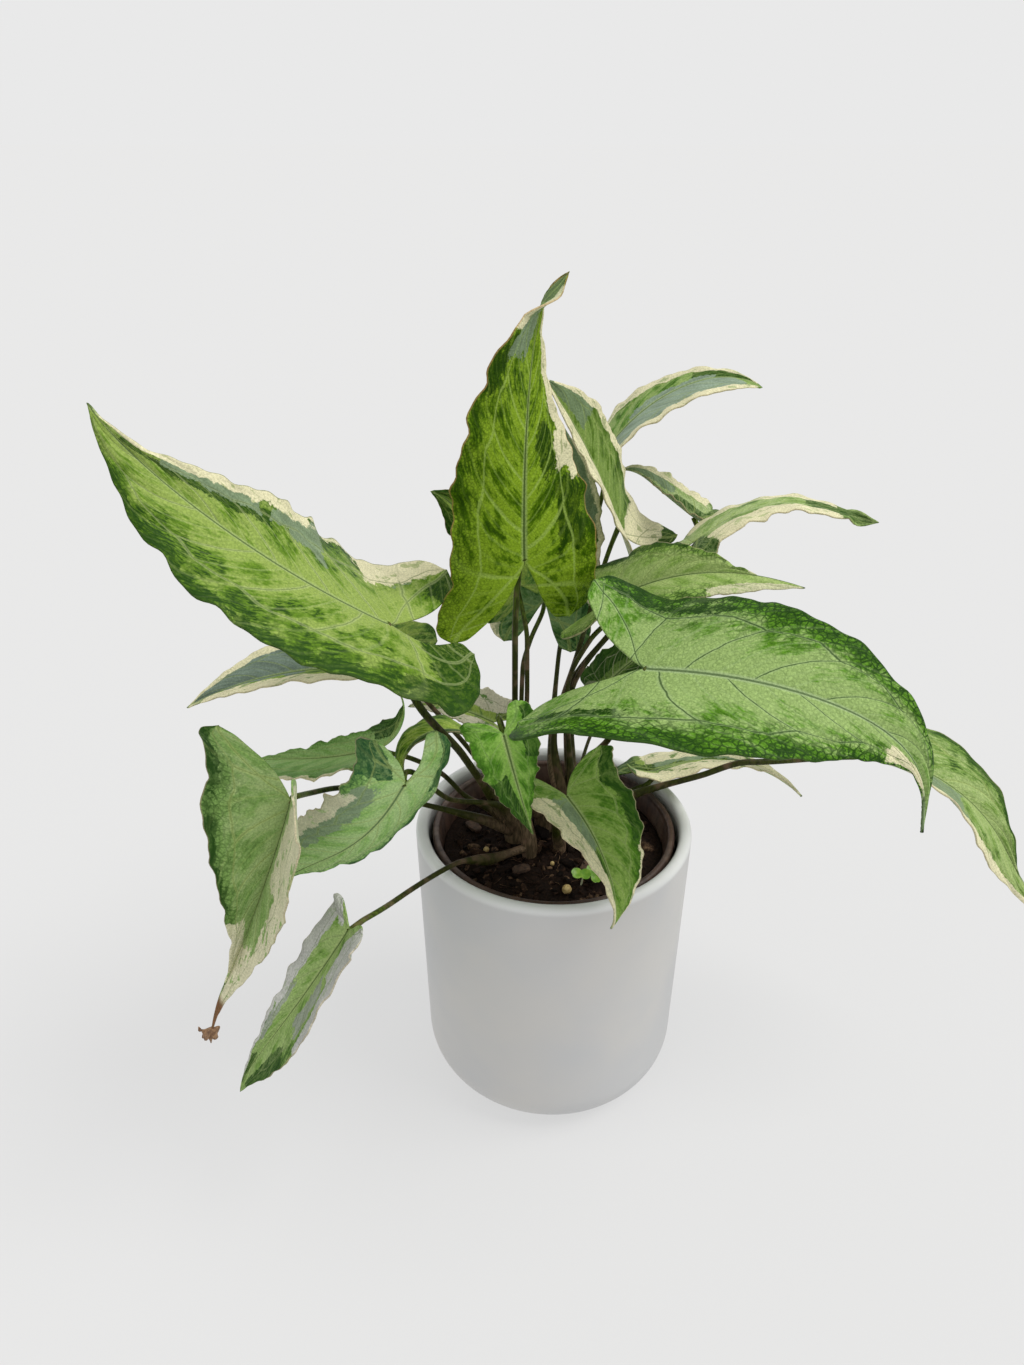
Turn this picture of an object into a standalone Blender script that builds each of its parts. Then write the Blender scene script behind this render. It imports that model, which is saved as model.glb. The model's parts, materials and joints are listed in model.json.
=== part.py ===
"""Arrowhead plant with variegated leaves, in a nursery pot that stands in a white cache pot.

Metres, +Z up. The origin is the centre of the cache pot's foot. -Y is the side that shows best.
"""

from collections import namedtuple
from math import cos, pi, radians, sin

import bmesh
import bpy
import numpy as np
from mathutils import Matrix, Vector

GAP = 0.0003

# Cache pot
POT_HEIGHT = 0.150
POT_RIM_RADIUS = 0.0675
POT_FOOT_RADIUS = 0.0650
POT_CORNER = 0.025
POT_WALL = 0.006
POT_FLOOR = 0.008
POT_SIDES = 48

# Nursery pot
LINER_TOP = 0.1465
LINER_RIM_RADIUS = 0.0595
LINER_MOUTH_RADIUS = 0.0575
LINER_FOOT_RADIUS = 0.0400
LINER_WALL = 0.0014
LINER_RIM_DEPTH = 0.006
LINER_SIDES = 40
DRAIN_RADIUS = 0.004
DRAIN_RING = 0.024
DRAINS = 6
DRAIN_SIDES = 10
LINER_EDGE = 0.0006

# Soil
SOIL_TOP = 0.135
SOIL_MOUND = 0.002
SOIL_RINGS = 5
SOIL_SIDES = 32
SOIL_ROUGHNESS = 0.0008
SOIL_EDGE = 0.02

# Leaf blades
BLADE_THICKNESS = 0.0008
BLADE_COLUMNS = 13
LOBE_COLUMNS = 4
BLADE_ROWS = 3
WAVE_HEIGHT = 0.0010
WAVE_COUNT = 3.5
LEAF_PHASE = 0.9
HALF_PHASE = 1.3
LOBE_SHARE = 0.3

# Half of a flat blade: how far along the leaf and how far out from the midrib, at shares u of the way
# from the lobe's tip to the blade's tip. Distances before the stalk count in lobe lengths (below 0),
# after it in blade lengths, and widths count in half widths.
OUTER_U = (0, .07, .15, .25, .35, .5, .65, .8, .9, .96, 1)
OUTER_ALONG = (-1, -.88, -.60, -.12, .12, .33, .54, .74, .87, .95, 1)
OUTER_ACROSS = (.60, .86, .99, .98, .93, .80, .585, .33, .15, .055, 0)
INNER_U = (0, .05, .12, .22, .3)
INNER_ALONG = (-1, -.96, -.72, -.28, 0)
INNER_ACROSS = (.60, .42, .28, .13, 0)

# Stems
STEM_SIDES_RESOLUTION = 1
STEM_POINTS = 13
STEM_FOOT_RADIUS = 0.0026
STEM_TOP_RADIUS = 0.0011
STEM_NECK = 0.0055
STEM_DROP = 0.0017
STEM_BACK = 0.0010
STUB_LOW = 0.118
STUB_TOP = 0.145
STUB_SIDES = 12
STUB_DEPTH = 0.004
STUB_SPREAD = 0.4

# Loose bits on the soil: x, y, radius
PELLETS = ((-0.033, -0.008, 0.0016), (-0.001, -0.020, 0.0012), (0.005, -0.040, 0.0026))
# Bark flakes: x, y, length, width, turn in degrees
BARK = (
    (0.016, -0.021, 0.013, 0.006, 70),
    (-0.016, -0.024, 0.009, 0.005, 20),
    (-0.040, 0.012, 0.010, 0.005, 130),
)
BARK_THICKNESS = 0.0022
BARK_EDGE = 0.0008
# Seedlings: x, y, height and the leaflets' headings in degrees
SEEDLINGS = ((0.012, -0.033, 0.010, (200, 330)), (0.019, -0.031, 0.007, (20, 160, 270)))
LEAFLET_RADIUS = 0.0026
LEAFLET_THICKNESS = 0.0008
LEAFLET_RISE = 0.15
THREAD_RADIUS = 0.0006
SEAT = 0.00045

# Colours as shader values, and roughness
CERAMIC = ("white ceramic", (0.80, 0.80, 0.79), 0.35)
BROWN_PLASTIC = ("brown plastic", (0.13, 0.08, 0.055), 0.5)
SOIL_MIX = ("soil mix", (0.035, 0.022, 0.015), 1.0)
LEAF_GREEN = ("leaf green", (0.25, 0.38, 0.14), 0.5)
STEM_OLIVE = ("stem olive", (0.10, 0.12, 0.05), 0.5)
PELLET_CREAM = ("pellet cream", (0.62, 0.50, 0.25), 0.7)
BARK_BROWN = ("bark brown", (0.12, 0.06, 0.035), 0.9)
SEEDLING_GREEN = ("seedling green", (0.30, 0.50, 0.12), 0.5)

# Sizes in metres, angles in degrees. Pairs are (left, right), looking from the stalk to the tip.
# arch bends the blade down along its length and nod bends its last third. sweep and hook bend it
# sideways, twist turns it about its midrib and tip turns its last part more. fold, curl and droop lift
# each half and each lobe.
Leaf = namedtuple(
    "Leaf",
    "base heading pitch roll length half lobe splay full arch nod sweep hook twist tip fold curl droop",
)
LEAVES = {
    "left_large": Leaf(
        base=(-0.070, -0.035, 0.272), heading=220, pitch=37, roll=-13, length=0.142,
        half=(0.048, 0.047), lobe=(0.047, 0.048), splay=(-24, 4), full=(3, -13),
        arch=-10, nod=-4, sweep=-43, hook=-18, twist=-90, tip=0,
        fold=(-3, 11), curl=(-13, -4), droop=(-18, -56),
    ),
    "centre_tall": Leaf(
        base=(-0.015, 0.004, 0.284), heading=56, pitch=92, roll=59, length=0.121,
        half=(0.034, 0.037), lobe=(0.040, 0.038), splay=(21, 7), full=(25, -16),
        arch=11, nod=-28, sweep=-17, hook=-40, twist=47, tip=110,
        fold=(5, 3), curl=(-31, -10), droop=(11, 28),
    ),
    "centre_narrow": Leaf(
        base=(0.033, 0.068, 0.275), heading=211, pitch=66, roll=-47, length=0.087,
        half=(0.024, 0.024), lobe=(0.034, 0.039), splay=(5, 21), full=(3, 35),
        arch=12, nod=3, sweep=3, hook=-5, twist=-32, tip=0,
        fold=(26, 7), curl=(-6, 1), droop=(10, -60),
    ),
    "centre_back": Leaf(
        base=(-0.004, 0.066, 0.238), heading=43, pitch=78, roll=39, length=0.087,
        half=(0.025, 0.026), lobe=(0.025, 0.025), splay=(5, 5), full=(0, 29),
        arch=4, nod=-12, sweep=9, hook=-3, twist=2, tip=0,
        fold=(12, 9), curl=(-15, -17), droop=(10, 10),
    ),
    "back_high": Leaf(
        base=(0.027, 0.109, 0.302), heading=355, pitch=56, roll=14, length=0.093,
        half=(0.024, 0.026), lobe=(0.032, 0.032), splay=(5, 5), full=(-4, 26),
        arch=66, nod=23, sweep=-17, hook=-12, twist=11, tip=0,
        fold=(4, 9), curl=(-2, 7), droop=(10, 10),
    ),
    "back_curled": Leaf(
        base=(0.072, 0.079, 0.277), heading=139, pitch=24, roll=-0, length=0.049,
        half=(0.013, 0.014), lobe=(0.009, 0.009), splay=(5, 12), full=(0, 18),
        arch=-9, nod=44, sweep=6, hook=19, twist=-11, tip=0,
        fold=(35, 21), curl=(2, -13), droop=(10, -3),
    ),
    "right_arching": Leaf(
        base=(0.067, 0.040, 0.281), heading=23, pitch=33, roll=-27, length=0.088,
        half=(0.024, 0.025), lobe=(0.019, 0.018), splay=(5, 15), full=(4, 11),
        arch=91, nod=-39, sweep=-25, hook=-10, twist=10, tip=100,
        fold=(9, 2), curl=(-8, -23), droop=(10, 28),
    ),
    "right_pale": Leaf(
        base=(0.031, 0.022, 0.261), heading=324, pitch=35, roll=28, length=0.086,
        half=(0.027, 0.025), lobe=(0.031, 0.030), splay=(6, 4), full=(-32, 6),
        arch=52, nod=1, sweep=-9, hook=6, twist=32, tip=0,
        fold=(21, 20), curl=(-31, -6), droop=(-2, 5),
    ),
    "right_large": Leaf(
        base=(0.031, -0.058, 0.264), heading=325, pitch=15, roll=15, length=0.151,
        half=(0.050, 0.049), lobe=(0.045, 0.050), splay=(15, -3), full=(-9, -20),
        arch=100, nod=18, sweep=50, hook=33, twist=76, tip=0,
        fold=(12, -6), curl=(-26, 27), droop=(-40, 24),
    ),
    "far_right": Leaf(
        base=(0.148, -0.002, 0.191), heading=355, pitch=-14, roll=1, length=0.134,
        half=(0.038, 0.038), lobe=(0.045, 0.045), splay=(5, 5), full=(-33, -7),
        arch=78, nod=-60, sweep=-33, hook=4, twist=88, tip=0,
        fold=(20, 12), curl=(-27, 25), droop=(10, 6),
    ),
    "low_cream": Leaf(
        base=(0.053, 0.027, 0.161), heading=14, pitch=11, roll=-22, length=0.084,
        half=(0.023, 0.023), lobe=(0.019, 0.021), splay=(5, -3), full=(1, -2),
        arch=62, nod=-2, sweep=-6, hook=-3, twist=11, tip=0,
        fold=(15, 14), curl=(-15, -31), droop=(10, -60),
    ),
    "front_right": Leaf(
        base=(0.004, -0.034, 0.187), heading=295, pitch=-2, roll=-5, length=0.070,
        half=(0.027, 0.022), lobe=(0.023, 0.023), splay=(29, 7), full=(10, -5),
        arch=67, nod=41, sweep=1, hook=18, twist=-38, tip=0,
        fold=(21, 15), curl=(7, -15), droop=(-33, 15),
    ),
    "front_left": Leaf(
        base=(-0.024, -0.043, 0.225), heading=321, pitch=-72, roll=39, length=0.050,
        half=(0.015, 0.016), lobe=(0.013, 0.012), splay=(-3, 35), full=(-14, 0),
        arch=10, nod=-4, sweep=4, hook=3, twist=-1, tip=0,
        fold=(14, 13), curl=(-12, -17), droop=(2, -7),
    ),
    "left_hanging": Leaf(
        base=(-0.108, -0.077, 0.215), heading=160, pitch=-70, roll=-77, length=0.123,
        half=(0.034, 0.035), lobe=(0.036, 0.033), splay=(-2, 28), full=(-4, -25),
        arch=-28, nod=-4, sweep=8, hook=30, twist=-53, tip=0,
        fold=(43, 56), curl=(0, -31), droop=(-35, 5),
    ),
    "left_broad": Leaf(
        base=(-0.064, -0.064, 0.214), heading=182, pitch=-63, roll=-123, length=0.082,
        half=(0.024, 0.025), lobe=(0.027, 0.021), splay=(-19, 32), full=(-11, 44),
        arch=44, nod=-36, sweep=-39, hook=-18, twist=35, tip=0,
        fold=(0, 0), curl=(-28, -36), droop=(16, -17),
    ),
    "left_flat": Leaf(
        base=(-0.082, -0.003, 0.193), heading=154, pitch=-27, roll=-13, length=0.084,
        half=(0.026, 0.013), lobe=(0.016, 0.023), splay=(5, 52), full=(27, -8),
        arch=-30, nod=24, sweep=6, hook=35, twist=-10, tip=0,
        fold=(18, 21), curl=(0, 26), droop=(8, 8),
    ),
    "young_curled": Leaf(
        base=(-0.034, -0.012, 0.199), heading=191, pitch=53, roll=27, length=0.059,
        half=(0.016, 0.016), lobe=(0.009, 0.009), splay=(5, 5), full=(-7, 9),
        arch=140, nod=28, sweep=-10, hook=2, twist=1, tip=0,
        fold=(10, 23), curl=(-25, -11), droop=(10, 9),
    ),
    "left_low": Leaf(
        base=(-0.081, -0.000, 0.234), heading=170, pitch=-4, roll=-7, length=0.102,
        half=(0.028, 0.028), lobe=(0.022, 0.023), splay=(6, 5), full=(1, 1),
        arch=29, nod=-0, sweep=7, hook=-2, twist=-25, tip=0,
        fold=(24, 21), curl=(2, -10), droop=(14, 10),
    ),
    "bottom_left": Leaf(
        base=(-0.087, -0.091, 0.161), heading=197, pitch=-56, roll=-23, length=0.093,
        half=(0.021, 0.017), lobe=(0.008, 0.006), splay=(-6, 25), full=(30, -5),
        arch=-8, nod=13, sweep=-2, hook=21, twist=-41, tip=0,
        fold=(28, 14), curl=(14, -35), droop=(7, 6),
    ),
    "behind_left": Leaf(
        base=(-0.030, 0.042, 0.180), heading=212, pitch=40, roll=-36, length=0.052,
        half=(0.015, 0.016), lobe=(0.013, 0.013), splay=(6, 5), full=(4, 11),
        arch=28, nod=10, sweep=12, hook=7, twist=-8, tip=0,
        fold=(21, 26), curl=(-3, -3), droop=(13, 10),
    ),
    "dark_small": Leaf(
        base=(0.027, 0.042, 0.202), heading=358, pitch=53, roll=32, length=0.050,
        half=(0.015, 0.014), lobe=(0.009, 0.009), splay=(-5, 5), full=(12, 0),
        arch=37, nod=22, sweep=-18, hook=-11, twist=4, tip=0,
        fold=(21, 12), curl=(-8, -15), droop=(16, 10),
    ),
    "centre_hidden": Leaf(
        base=(-0.017, 0.046, 0.255), heading=211, pitch=59, roll=-89, length=0.069,
        half=(0.020, 0.020), lobe=(0.019, 0.019), splay=(26, 5), full=(13, 16),
        arch=11, nod=-11, sweep=16, hook=18, twist=3, tip=0,
        fold=(-4, 8), curl=(-27, -16), droop=(35, 10),
    ),
}

# The shoot that each leaf stem grows from, and the points that it passes.
Stem = namedtuple("Stem", "shoot via")
STEMS = {
    "left_large": Stem("left", [(-0.026, -0.004, 0.158), (-0.042, -0.030, 0.206), (-0.061, -0.038, 0.239)]),
    "left_hanging": Stem("left", [
        (-0.031, -0.008, 0.154), (-0.066, -0.024, 0.177), (-0.092, -0.042, 0.197),
        (-0.104, -0.062, 0.208),
    ]),
    "left_broad": Stem("left", [(-0.025, -0.010, 0.164), (-0.048, -0.032, 0.184)]),
    "left_flat": Stem("left", [(-0.029, 0.002, 0.153), (-0.042, 0.001, 0.162), (-0.055, -0.001, 0.178)]),
    "young_curled": Stem("left", [(-0.021, -0.002, 0.156), (-0.027, -0.007, 0.181)]),
    "left_low": Stem("left", [(-0.024, 0.005, 0.158), (-0.041, 0.011, 0.183), (-0.062, 0.018, 0.207)]),
    "behind_left": Stem("left", [(-0.018, 0.016, 0.150), (-0.023, 0.032, 0.170)]),
    "centre_tall": Stem("centre", [(-0.018, 0.011, 0.165), (-0.019, 0.009, 0.212), (-0.019, 0.007, 0.245)]),
    "centre_back": Stem("centre", [(-0.016, 0.029, 0.165), (-0.015, 0.050, 0.207), (-0.011, 0.057, 0.220)]),
    "centre_hidden": Stem("centre", [
        (-0.015, 0.018, 0.173), (-0.013, 0.028, 0.207), (-0.013, 0.040, 0.228),
    ]),
    "centre_narrow": Stem("right", [(-0.000, 0.014, 0.187), (0.010, 0.024, 0.226)]),
    "back_high": Stem("right", [(0.000, 0.030, 0.165), (0.004, 0.070, 0.202), (0.009, 0.088, 0.221)]),
    "back_curled": Stem("right", [(0.006, 0.022, 0.205), (0.028, 0.034, 0.237), (0.051, 0.046, 0.262)]),
    "right_arching": Stem("right", [(0.008, 0.021, 0.205), (0.031, 0.029, 0.243)]),
    "right_pale": Stem("right", [(0.006, 0.016, 0.214), (0.016, 0.018, 0.239)]),
    "right_large": Stem("right", [(0.010, 0.002, 0.172), (0.025, -0.008, 0.203)]),
    "dark_small": Stem("right", [(0.013, 0.020, 0.159), (0.023, 0.047, 0.176)]),
    "far_right": Stem("right", [(0.038, 0.000, 0.164), (0.069, -0.004, 0.178), (0.091, -0.006, 0.187)]),
    "low_cream": Stem("right", [(0.024, 0.014, 0.142), (0.041, 0.022, 0.152)]),
    "front_right": Stem("front", [(0.000, -0.019, 0.160)]),
    "bottom_left": Stem("low", [(-0.028, -0.023, 0.144), (-0.047, -0.042, 0.155), (-0.069, -0.067, 0.157)]),
    "front_left": Stem("low", [(-0.017, -0.012, 0.170), (-0.020, -0.016, 0.192)]),
}

# Where each shoot leaves the soil, and how thick it is there.
Shoot = namedtuple("Shoot", "x y radius")
SHOOTS = {
    "left": Shoot(-0.018, 0.003, 0.0062),
    "centre": Shoot(-0.003, 0.013, 0.0060),
    "right": Shoot(0.011, 0.008, 0.0065),
    "front": Shoot(0.003, -0.006, 0.0032),
    "low": Shoot(-0.012, -0.010, 0.0040),
}


# Scene and materials
def clear_scene():
    for obj in list(bpy.data.objects):
        bpy.data.objects.remove(obj, do_unlink=True)


def new_collection(name):
    collection = bpy.data.collections.new(name)
    bpy.context.scene.collection.children.link(collection)
    return collection


def material(spec):
    name, colour, roughness = spec
    found = bpy.data.materials.get(name)
    if found:
        return found
    made = bpy.data.materials.new(name)
    made.use_nodes = True
    shader = made.node_tree.nodes["Principled BSDF"]
    shader.inputs["Base Color"].default_value = (*colour, 1)
    shader.inputs["Roughness"].default_value = roughness
    shader.inputs["Metallic"].default_value = 0
    return made


def add_object(name, mesh, collection, spec=None, location=(0, 0, 0)):
    obj = bpy.data.objects.new(name, mesh)
    obj.location = location
    collection.objects.link(obj)
    if spec:
        mesh.materials.clear()
        mesh.materials.append(material(spec))
    return obj


def mesh_from_bmesh(name, shape):
    bmesh.ops.recalc_face_normals(shape, faces=shape.faces)
    mesh = bpy.data.meshes.new(name)
    shape.to_mesh(mesh)
    shape.free()
    return mesh


def evaluated_mesh(obj):
    graph = bpy.context.evaluated_depsgraph_get()
    mesh = bpy.data.meshes.new_from_object(obj.evaluated_get(graph))
    shape = bmesh.new()
    shape.from_mesh(mesh)
    bmesh.ops.remove_doubles(shape, verts=shape.verts, dist=0.00001)
    bmesh.ops.recalc_face_normals(shape, faces=shape.faces)
    shape.to_mesh(mesh)
    shape.free()
    return mesh


def remove_all(objects):
    for obj in objects:
        bpy.data.objects.remove(obj, do_unlink=True)


# Curves through a few points
def smooth(x, xs, ys):
    """A smooth curve through the points that never overshoots them."""
    xs, ys = np.asarray(xs, float), np.asarray(ys, float)
    steps = np.diff(xs)
    rises = np.diff(ys) / steps
    slopes = np.zeros(len(xs))
    before = 2 * steps[1:] + steps[:-1]
    after = steps[1:] + 2 * steps[:-1]
    same_way = rises[:-1] * rises[1:] > 0
    safe = np.where(same_way, rises[:-1] * rises[1:], 1)
    mean = (before + after) * safe / (before * rises[1:] + after * rises[:-1] + (~same_way))
    slopes[1:-1] = np.where(same_way, mean, 0)
    slopes[0], slopes[-1] = rises[0], rises[-1]
    k = np.clip(np.searchsorted(xs, x) - 1, 0, len(steps) - 1)
    step = steps[k]
    t = (x - xs[k]) / step
    return (
        ys[k] * (1 + 2 * t) * (1 - t) ** 2
        + ys[k + 1] * t * t * (3 - 2 * t)
        + step * (slopes[k] * t * (1 - t) ** 2 - slopes[k + 1] * t * t * (1 - t))
    )


def rotation(axis, angle):
    """Rotation matrices about one axis (0, 1 or 2), one for each angle."""
    angle = np.asarray(angle, float)
    c, s = np.cos(angle), np.sin(angle)
    a, b = [(1, 2), (2, 0), (0, 1)][axis]
    out = np.zeros(angle.shape + (3, 3))
    out[..., axis, axis] = 1
    out[..., a, a] = c
    out[..., b, b] = c
    out[..., a, b] = -s
    out[..., b, a] = s
    return out


# Leaf blades
def leaf_frame(leaf):
    return (
        rotation(2, radians(leaf.heading))
        @ rotation(1, -radians(leaf.pitch))
        @ rotation(0, radians(leaf.roll))
    )


def midrib_turn(leaf, x):
    """How the midrib has turned by share x of the blade's length: down, sideways and about itself."""
    last = np.clip((x - 0.84) / 0.16, 0, 1)
    down = radians(leaf.arch) * x**1.3 + radians(leaf.nod) * np.clip((x - 0.6) / 0.4, 0, 1) ** 1.5
    side = radians(leaf.sweep) * x**1.3 + radians(leaf.hook) * last
    about = radians(leaf.twist) * x**1.5 + radians(leaf.tip) * last
    return down, side, about


def flat_half(leaf, side, u, v):
    """Where a point of the half blade lies before it is bent: along and across, in metres."""
    half, lobe, splay, full = (
        pair[side < 0] for pair in (leaf.half, leaf.lobe, leaf.splay, leaf.full)
    )
    past_sinus = np.clip((u - LOBE_SHARE) / (1 - LOBE_SHARE), 0, 1)
    in_lobe = np.minimum(u, LOBE_SHARE)
    inner_along = np.where(u < LOBE_SHARE, smooth(in_lobe, INNER_U, INNER_ALONG), past_sinus)
    inner_across = np.where(u < LOBE_SHARE, smooth(in_lobe, INNER_U, INNER_ACROSS), 0)
    outer_along = smooth(u, OUTER_U, OUTER_ALONG)
    s = np.clip(outer_along, 0, 1)
    outer_across = smooth(u, OUTER_U, OUTER_ACROSS) + full / 100 * 6.75 * s * s * (1 - s)
    inner_along, outer_along = (
        np.where(a < 0, a * lobe, a * leaf.length) for a in (inner_along, outer_along)
    )
    along = inner_along * (1 - v) + outer_along * v
    across = (inner_across * (1 - v) + outer_across * v) * half
    back = np.clip(-along / lobe, 0, 1)
    turn = radians(splay) * back * back * (3 - 2 * back)
    return along * np.cos(turn), across * np.cos(turn) - along * np.sin(turn)


def running_sum(directions, step):
    return np.concatenate([np.zeros((1, 3)), np.cumsum(directions * step, axis=0)])


def blade_points(leaf, side, u, v, phase):
    """The half blade's points in the world. side is 1 for left and -1 for right."""
    half, lobe, fold, curl, droop = (
        pair[side < 0] for pair in (leaf.half, leaf.lobe, leaf.fold, leaf.curl, leaf.droop)
    )
    fold, curl, droop = radians(fold), radians(curl) + 0.0001, radians(droop)
    along, across = flat_half(leaf, side, u, v)
    shares = np.linspace(0, 1, 41)
    middles = (shares[1:] + shares[:-1]) / 2
    down, sideways, _ = midrib_turn(leaf, middles)
    midrib = running_sum((rotation(2, sideways) @ rotation(1, down))[:, :, 0], leaf.length / 40)
    lobe_line = running_sum(-rotation(1, -droop * middles)[:, :, 0], lobe / 40)
    ahead, back = np.clip(along / leaf.length, 0, 1), np.clip(-along / lobe, 0, 1)
    spine = np.stack(
        [
            np.where(
                along >= 0,
                np.interp(ahead, shares, midrib[:, k]),
                np.interp(back, shares, lobe_line[:, k]),
            )
            for k in range(3)
        ],
        axis=-1,
    )
    down, sideways, about = midrib_turn(leaf, ahead)
    turn = np.where(
        (along >= 0)[..., None, None],
        rotation(2, sideways) @ rotation(1, down) @ rotation(0, about),
        rotation(1, -droop * back),
    )
    q = across / half
    out = half / curl * (np.sin(fold + curl * q) - np.sin(fold))
    up = -half / curl * (np.cos(fold + curl * q) - np.cos(fold))
    up = up + WAVE_HEIGHT * q * q * np.sin(2 * pi * WAVE_COUNT * u + phase)
    local = spine + np.einsum("...ij,...j->...i", turn, np.stack([0 * out, side * out, up], axis=-1))
    return np.array(leaf.base) + local @ leaf_frame(leaf).T


def half_blade(shape, leaf, side, phase):
    """Bends a flat grid into one half of the blade and adds it to the shape."""
    grid = bmesh.ops.create_grid(shape, x_segments=BLADE_COLUMNS, y_segments=BLADE_ROWS, size=0.5)
    places = np.array([vert.co[:2] for vert in grid["verts"]]) + 0.5
    share = np.interp(places[:, 0], (0, LOBE_COLUMNS / BLADE_COLUMNS, 1), (0, LOBE_SHARE, 1))
    points = blade_points(leaf, side, share, places[:, 1], phase)
    for vert, point in zip(grid["verts"], points):
        vert.co = point


def leaf_blade(name, leaf, phase, collection):
    shape = bmesh.new()
    half_blade(shape, leaf, 1, phase)
    half_blade(shape, leaf, -1, phase + HALF_PHASE)
    bmesh.ops.remove_doubles(shape, verts=shape.verts, dist=0.00002)
    bmesh.ops.triangulate(shape, faces=shape.faces)
    mesh = mesh_from_bmesh(name, shape)
    obj = add_object("leaf_" + name, mesh, collection, LEAF_GREEN)
    solidify = obj.modifiers.new("thickness", "SOLIDIFY")
    solidify.thickness = BLADE_THICKNESS
    solidify.offset = 0
    mesh.shade_smooth()
    return obj


# Stems
def rounded_route(points, count):
    """Evenly spaced points of a smooth curve through the given ones."""
    points = np.array(points)
    steps = np.linalg.norm(np.diff(points, axis=0), axis=1)
    far = np.concatenate([[0], np.cumsum(steps)])
    places = np.linspace(0, far[-1], count)
    return np.stack([smooth(places, far, points[:, k]) for k in range(3)], axis=-1)


def stem_route(name):
    """From inside the shoot's stub to just under the blade's sinus."""
    leaf, stem = LEAVES[name], STEMS[name]
    shoot = SHOOTS[stem.shoot]
    first = np.array(stem.via[0])
    stub = np.array([shoot.x, shoot.y, STUB_TOP])
    lean = (first - stub) / np.linalg.norm(first - stub)
    start = stub + STUB_SPREAD * shoot.radius * lean * (1, 1, 0) - (0, 0, STUB_DEPTH)
    frame = leaf_frame(leaf)
    base = np.array(leaf.base)
    behind = base - (frame[:, 0] + frame[:, 2]) * STEM_NECK
    end = base - frame[:, 2] * STEM_DROP - frame[:, 0] * STEM_BACK
    return rounded_route([start, *stem.via, behind, end], STEM_POINTS)


def tube(name, points, radii, collection):
    curve = bpy.data.curves.new(name, "CURVE")
    curve.dimensions = "3D"
    curve.bevel_depth = 1
    curve.bevel_resolution = STEM_SIDES_RESOLUTION
    curve.use_fill_caps = True
    spline = curve.splines.new("POLY")
    spline.points.add(len(points) - 1)
    for place, point, radius in zip(spline.points, points, radii):
        place.co = (*point, 1)
        place.radius = radius
    obj = bpy.data.objects.new(name, curve)
    collection.objects.link(obj)
    bpy.context.view_layer.update()
    solid = bpy.data.objects.new(name, evaluated_mesh(obj))
    collection.objects.link(solid)
    bpy.data.objects.remove(obj, do_unlink=True)
    return solid


def cylinder(name, x, y, low, high, radius, sides, collection):
    shape = bmesh.new()
    bmesh.ops.create_cone(
        shape, cap_ends=True, segments=sides, radius1=radius, radius2=radius, depth=high - low
    )
    mesh = mesh_from_bmesh(name, shape)
    return add_object(name, mesh, collection, location=(x, y, (low + high) / 2))


def joined(name, collection, spec, home):
    """One solid from all of a collection's solids."""
    first, *rest = list(collection.objects)
    helpers = bpy.data.collections.new(name + " pieces")
    bpy.context.scene.collection.children.link(helpers)
    for obj in rest:
        collection.objects.unlink(obj)
        helpers.objects.link(obj)
    if rest:
        union = first.modifiers.new("join", "BOOLEAN")
        union.operation = "UNION"
        union.operand_type = "COLLECTION"
        union.collection = helpers
        union.solver = "MANIFOLD"
    bpy.context.view_layer.update()
    mesh = evaluated_mesh(first)
    place = first.matrix_world.copy()
    remove_all([first, *rest])
    bpy.data.collections.remove(helpers)
    obj = add_object(name, mesh, home, spec)
    obj.matrix_world = place
    mesh.shade_smooth()
    return obj


def shoot_of_stems(name, shoot, collection):
    """All the leaf stems of one shoot, grown together at a short stub in the soil."""
    pieces = new_collection("shoot " + name)
    cylinder("stub", shoot.x, shoot.y, STUB_LOW, STUB_TOP, shoot.radius, STUB_SIDES, pieces)
    for leaf_name, stem in STEMS.items():
        if stem.shoot == name:
            points = stem_route(leaf_name)
            radii = np.linspace(STEM_FOOT_RADIUS, STEM_TOP_RADIUS, len(points))
            tube(leaf_name, points, radii, pieces)
    joined("stems_" + name, pieces, STEM_OLIVE, collection)
    bpy.data.collections.remove(pieces)


# Pots and soil
def turned(name, profile, sides, spec, collection):
    """A solid turned about Z from its outline, which runs down the outer side first."""
    mesh = bpy.data.meshes.new(name)
    points = [(r, 0, z) for r, z in profile]
    edges = [(i, i + 1) for i in range(len(points) - 1)]
    mesh.from_pydata(points, edges, [])
    obj = add_object(name, mesh, collection, spec)
    screw = obj.modifiers.new("turn", "SCREW")
    screw.steps = sides
    screw.render_steps = sides
    screw.use_merge_vertices = True
    screw.merge_threshold = 0.00001
    screw.use_smooth_shade = True
    return obj


def arc(centre_r, centre_z, radius, start, end, count):
    return [
        (centre_r + radius * cos(radians(a)), centre_z + radius * sin(radians(a)))
        for a in np.linspace(start, end, count)
    ]


def cache_pot_profile():
    lip = POT_WALL / 2
    inner_corner = POT_CORNER - POT_WALL
    inner_foot = POT_FOOT_RADIUS - POT_WALL
    return [
        (0, POT_FLOOR),
        *arc(inner_foot - inner_corner, POT_FLOOR + inner_corner, inner_corner, -90, 0, 5),
        *arc(POT_RIM_RADIUS - lip, POT_HEIGHT - lip, lip, 180, 0, 7),
        *arc(POT_FOOT_RADIUS - POT_CORNER, POT_CORNER, POT_CORNER, 0, -90, 7),
        (0, 0),
    ]


def liner_radius(z):
    """The nursery pot's outer radius at a height above the cache pot's foot."""
    foot = POT_FLOOR + GAP
    share = (z - foot) / (LINER_TOP - foot)
    return LINER_FOOT_RADIUS + (LINER_MOUTH_RADIUS - LINER_FOOT_RADIUS) * share


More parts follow.
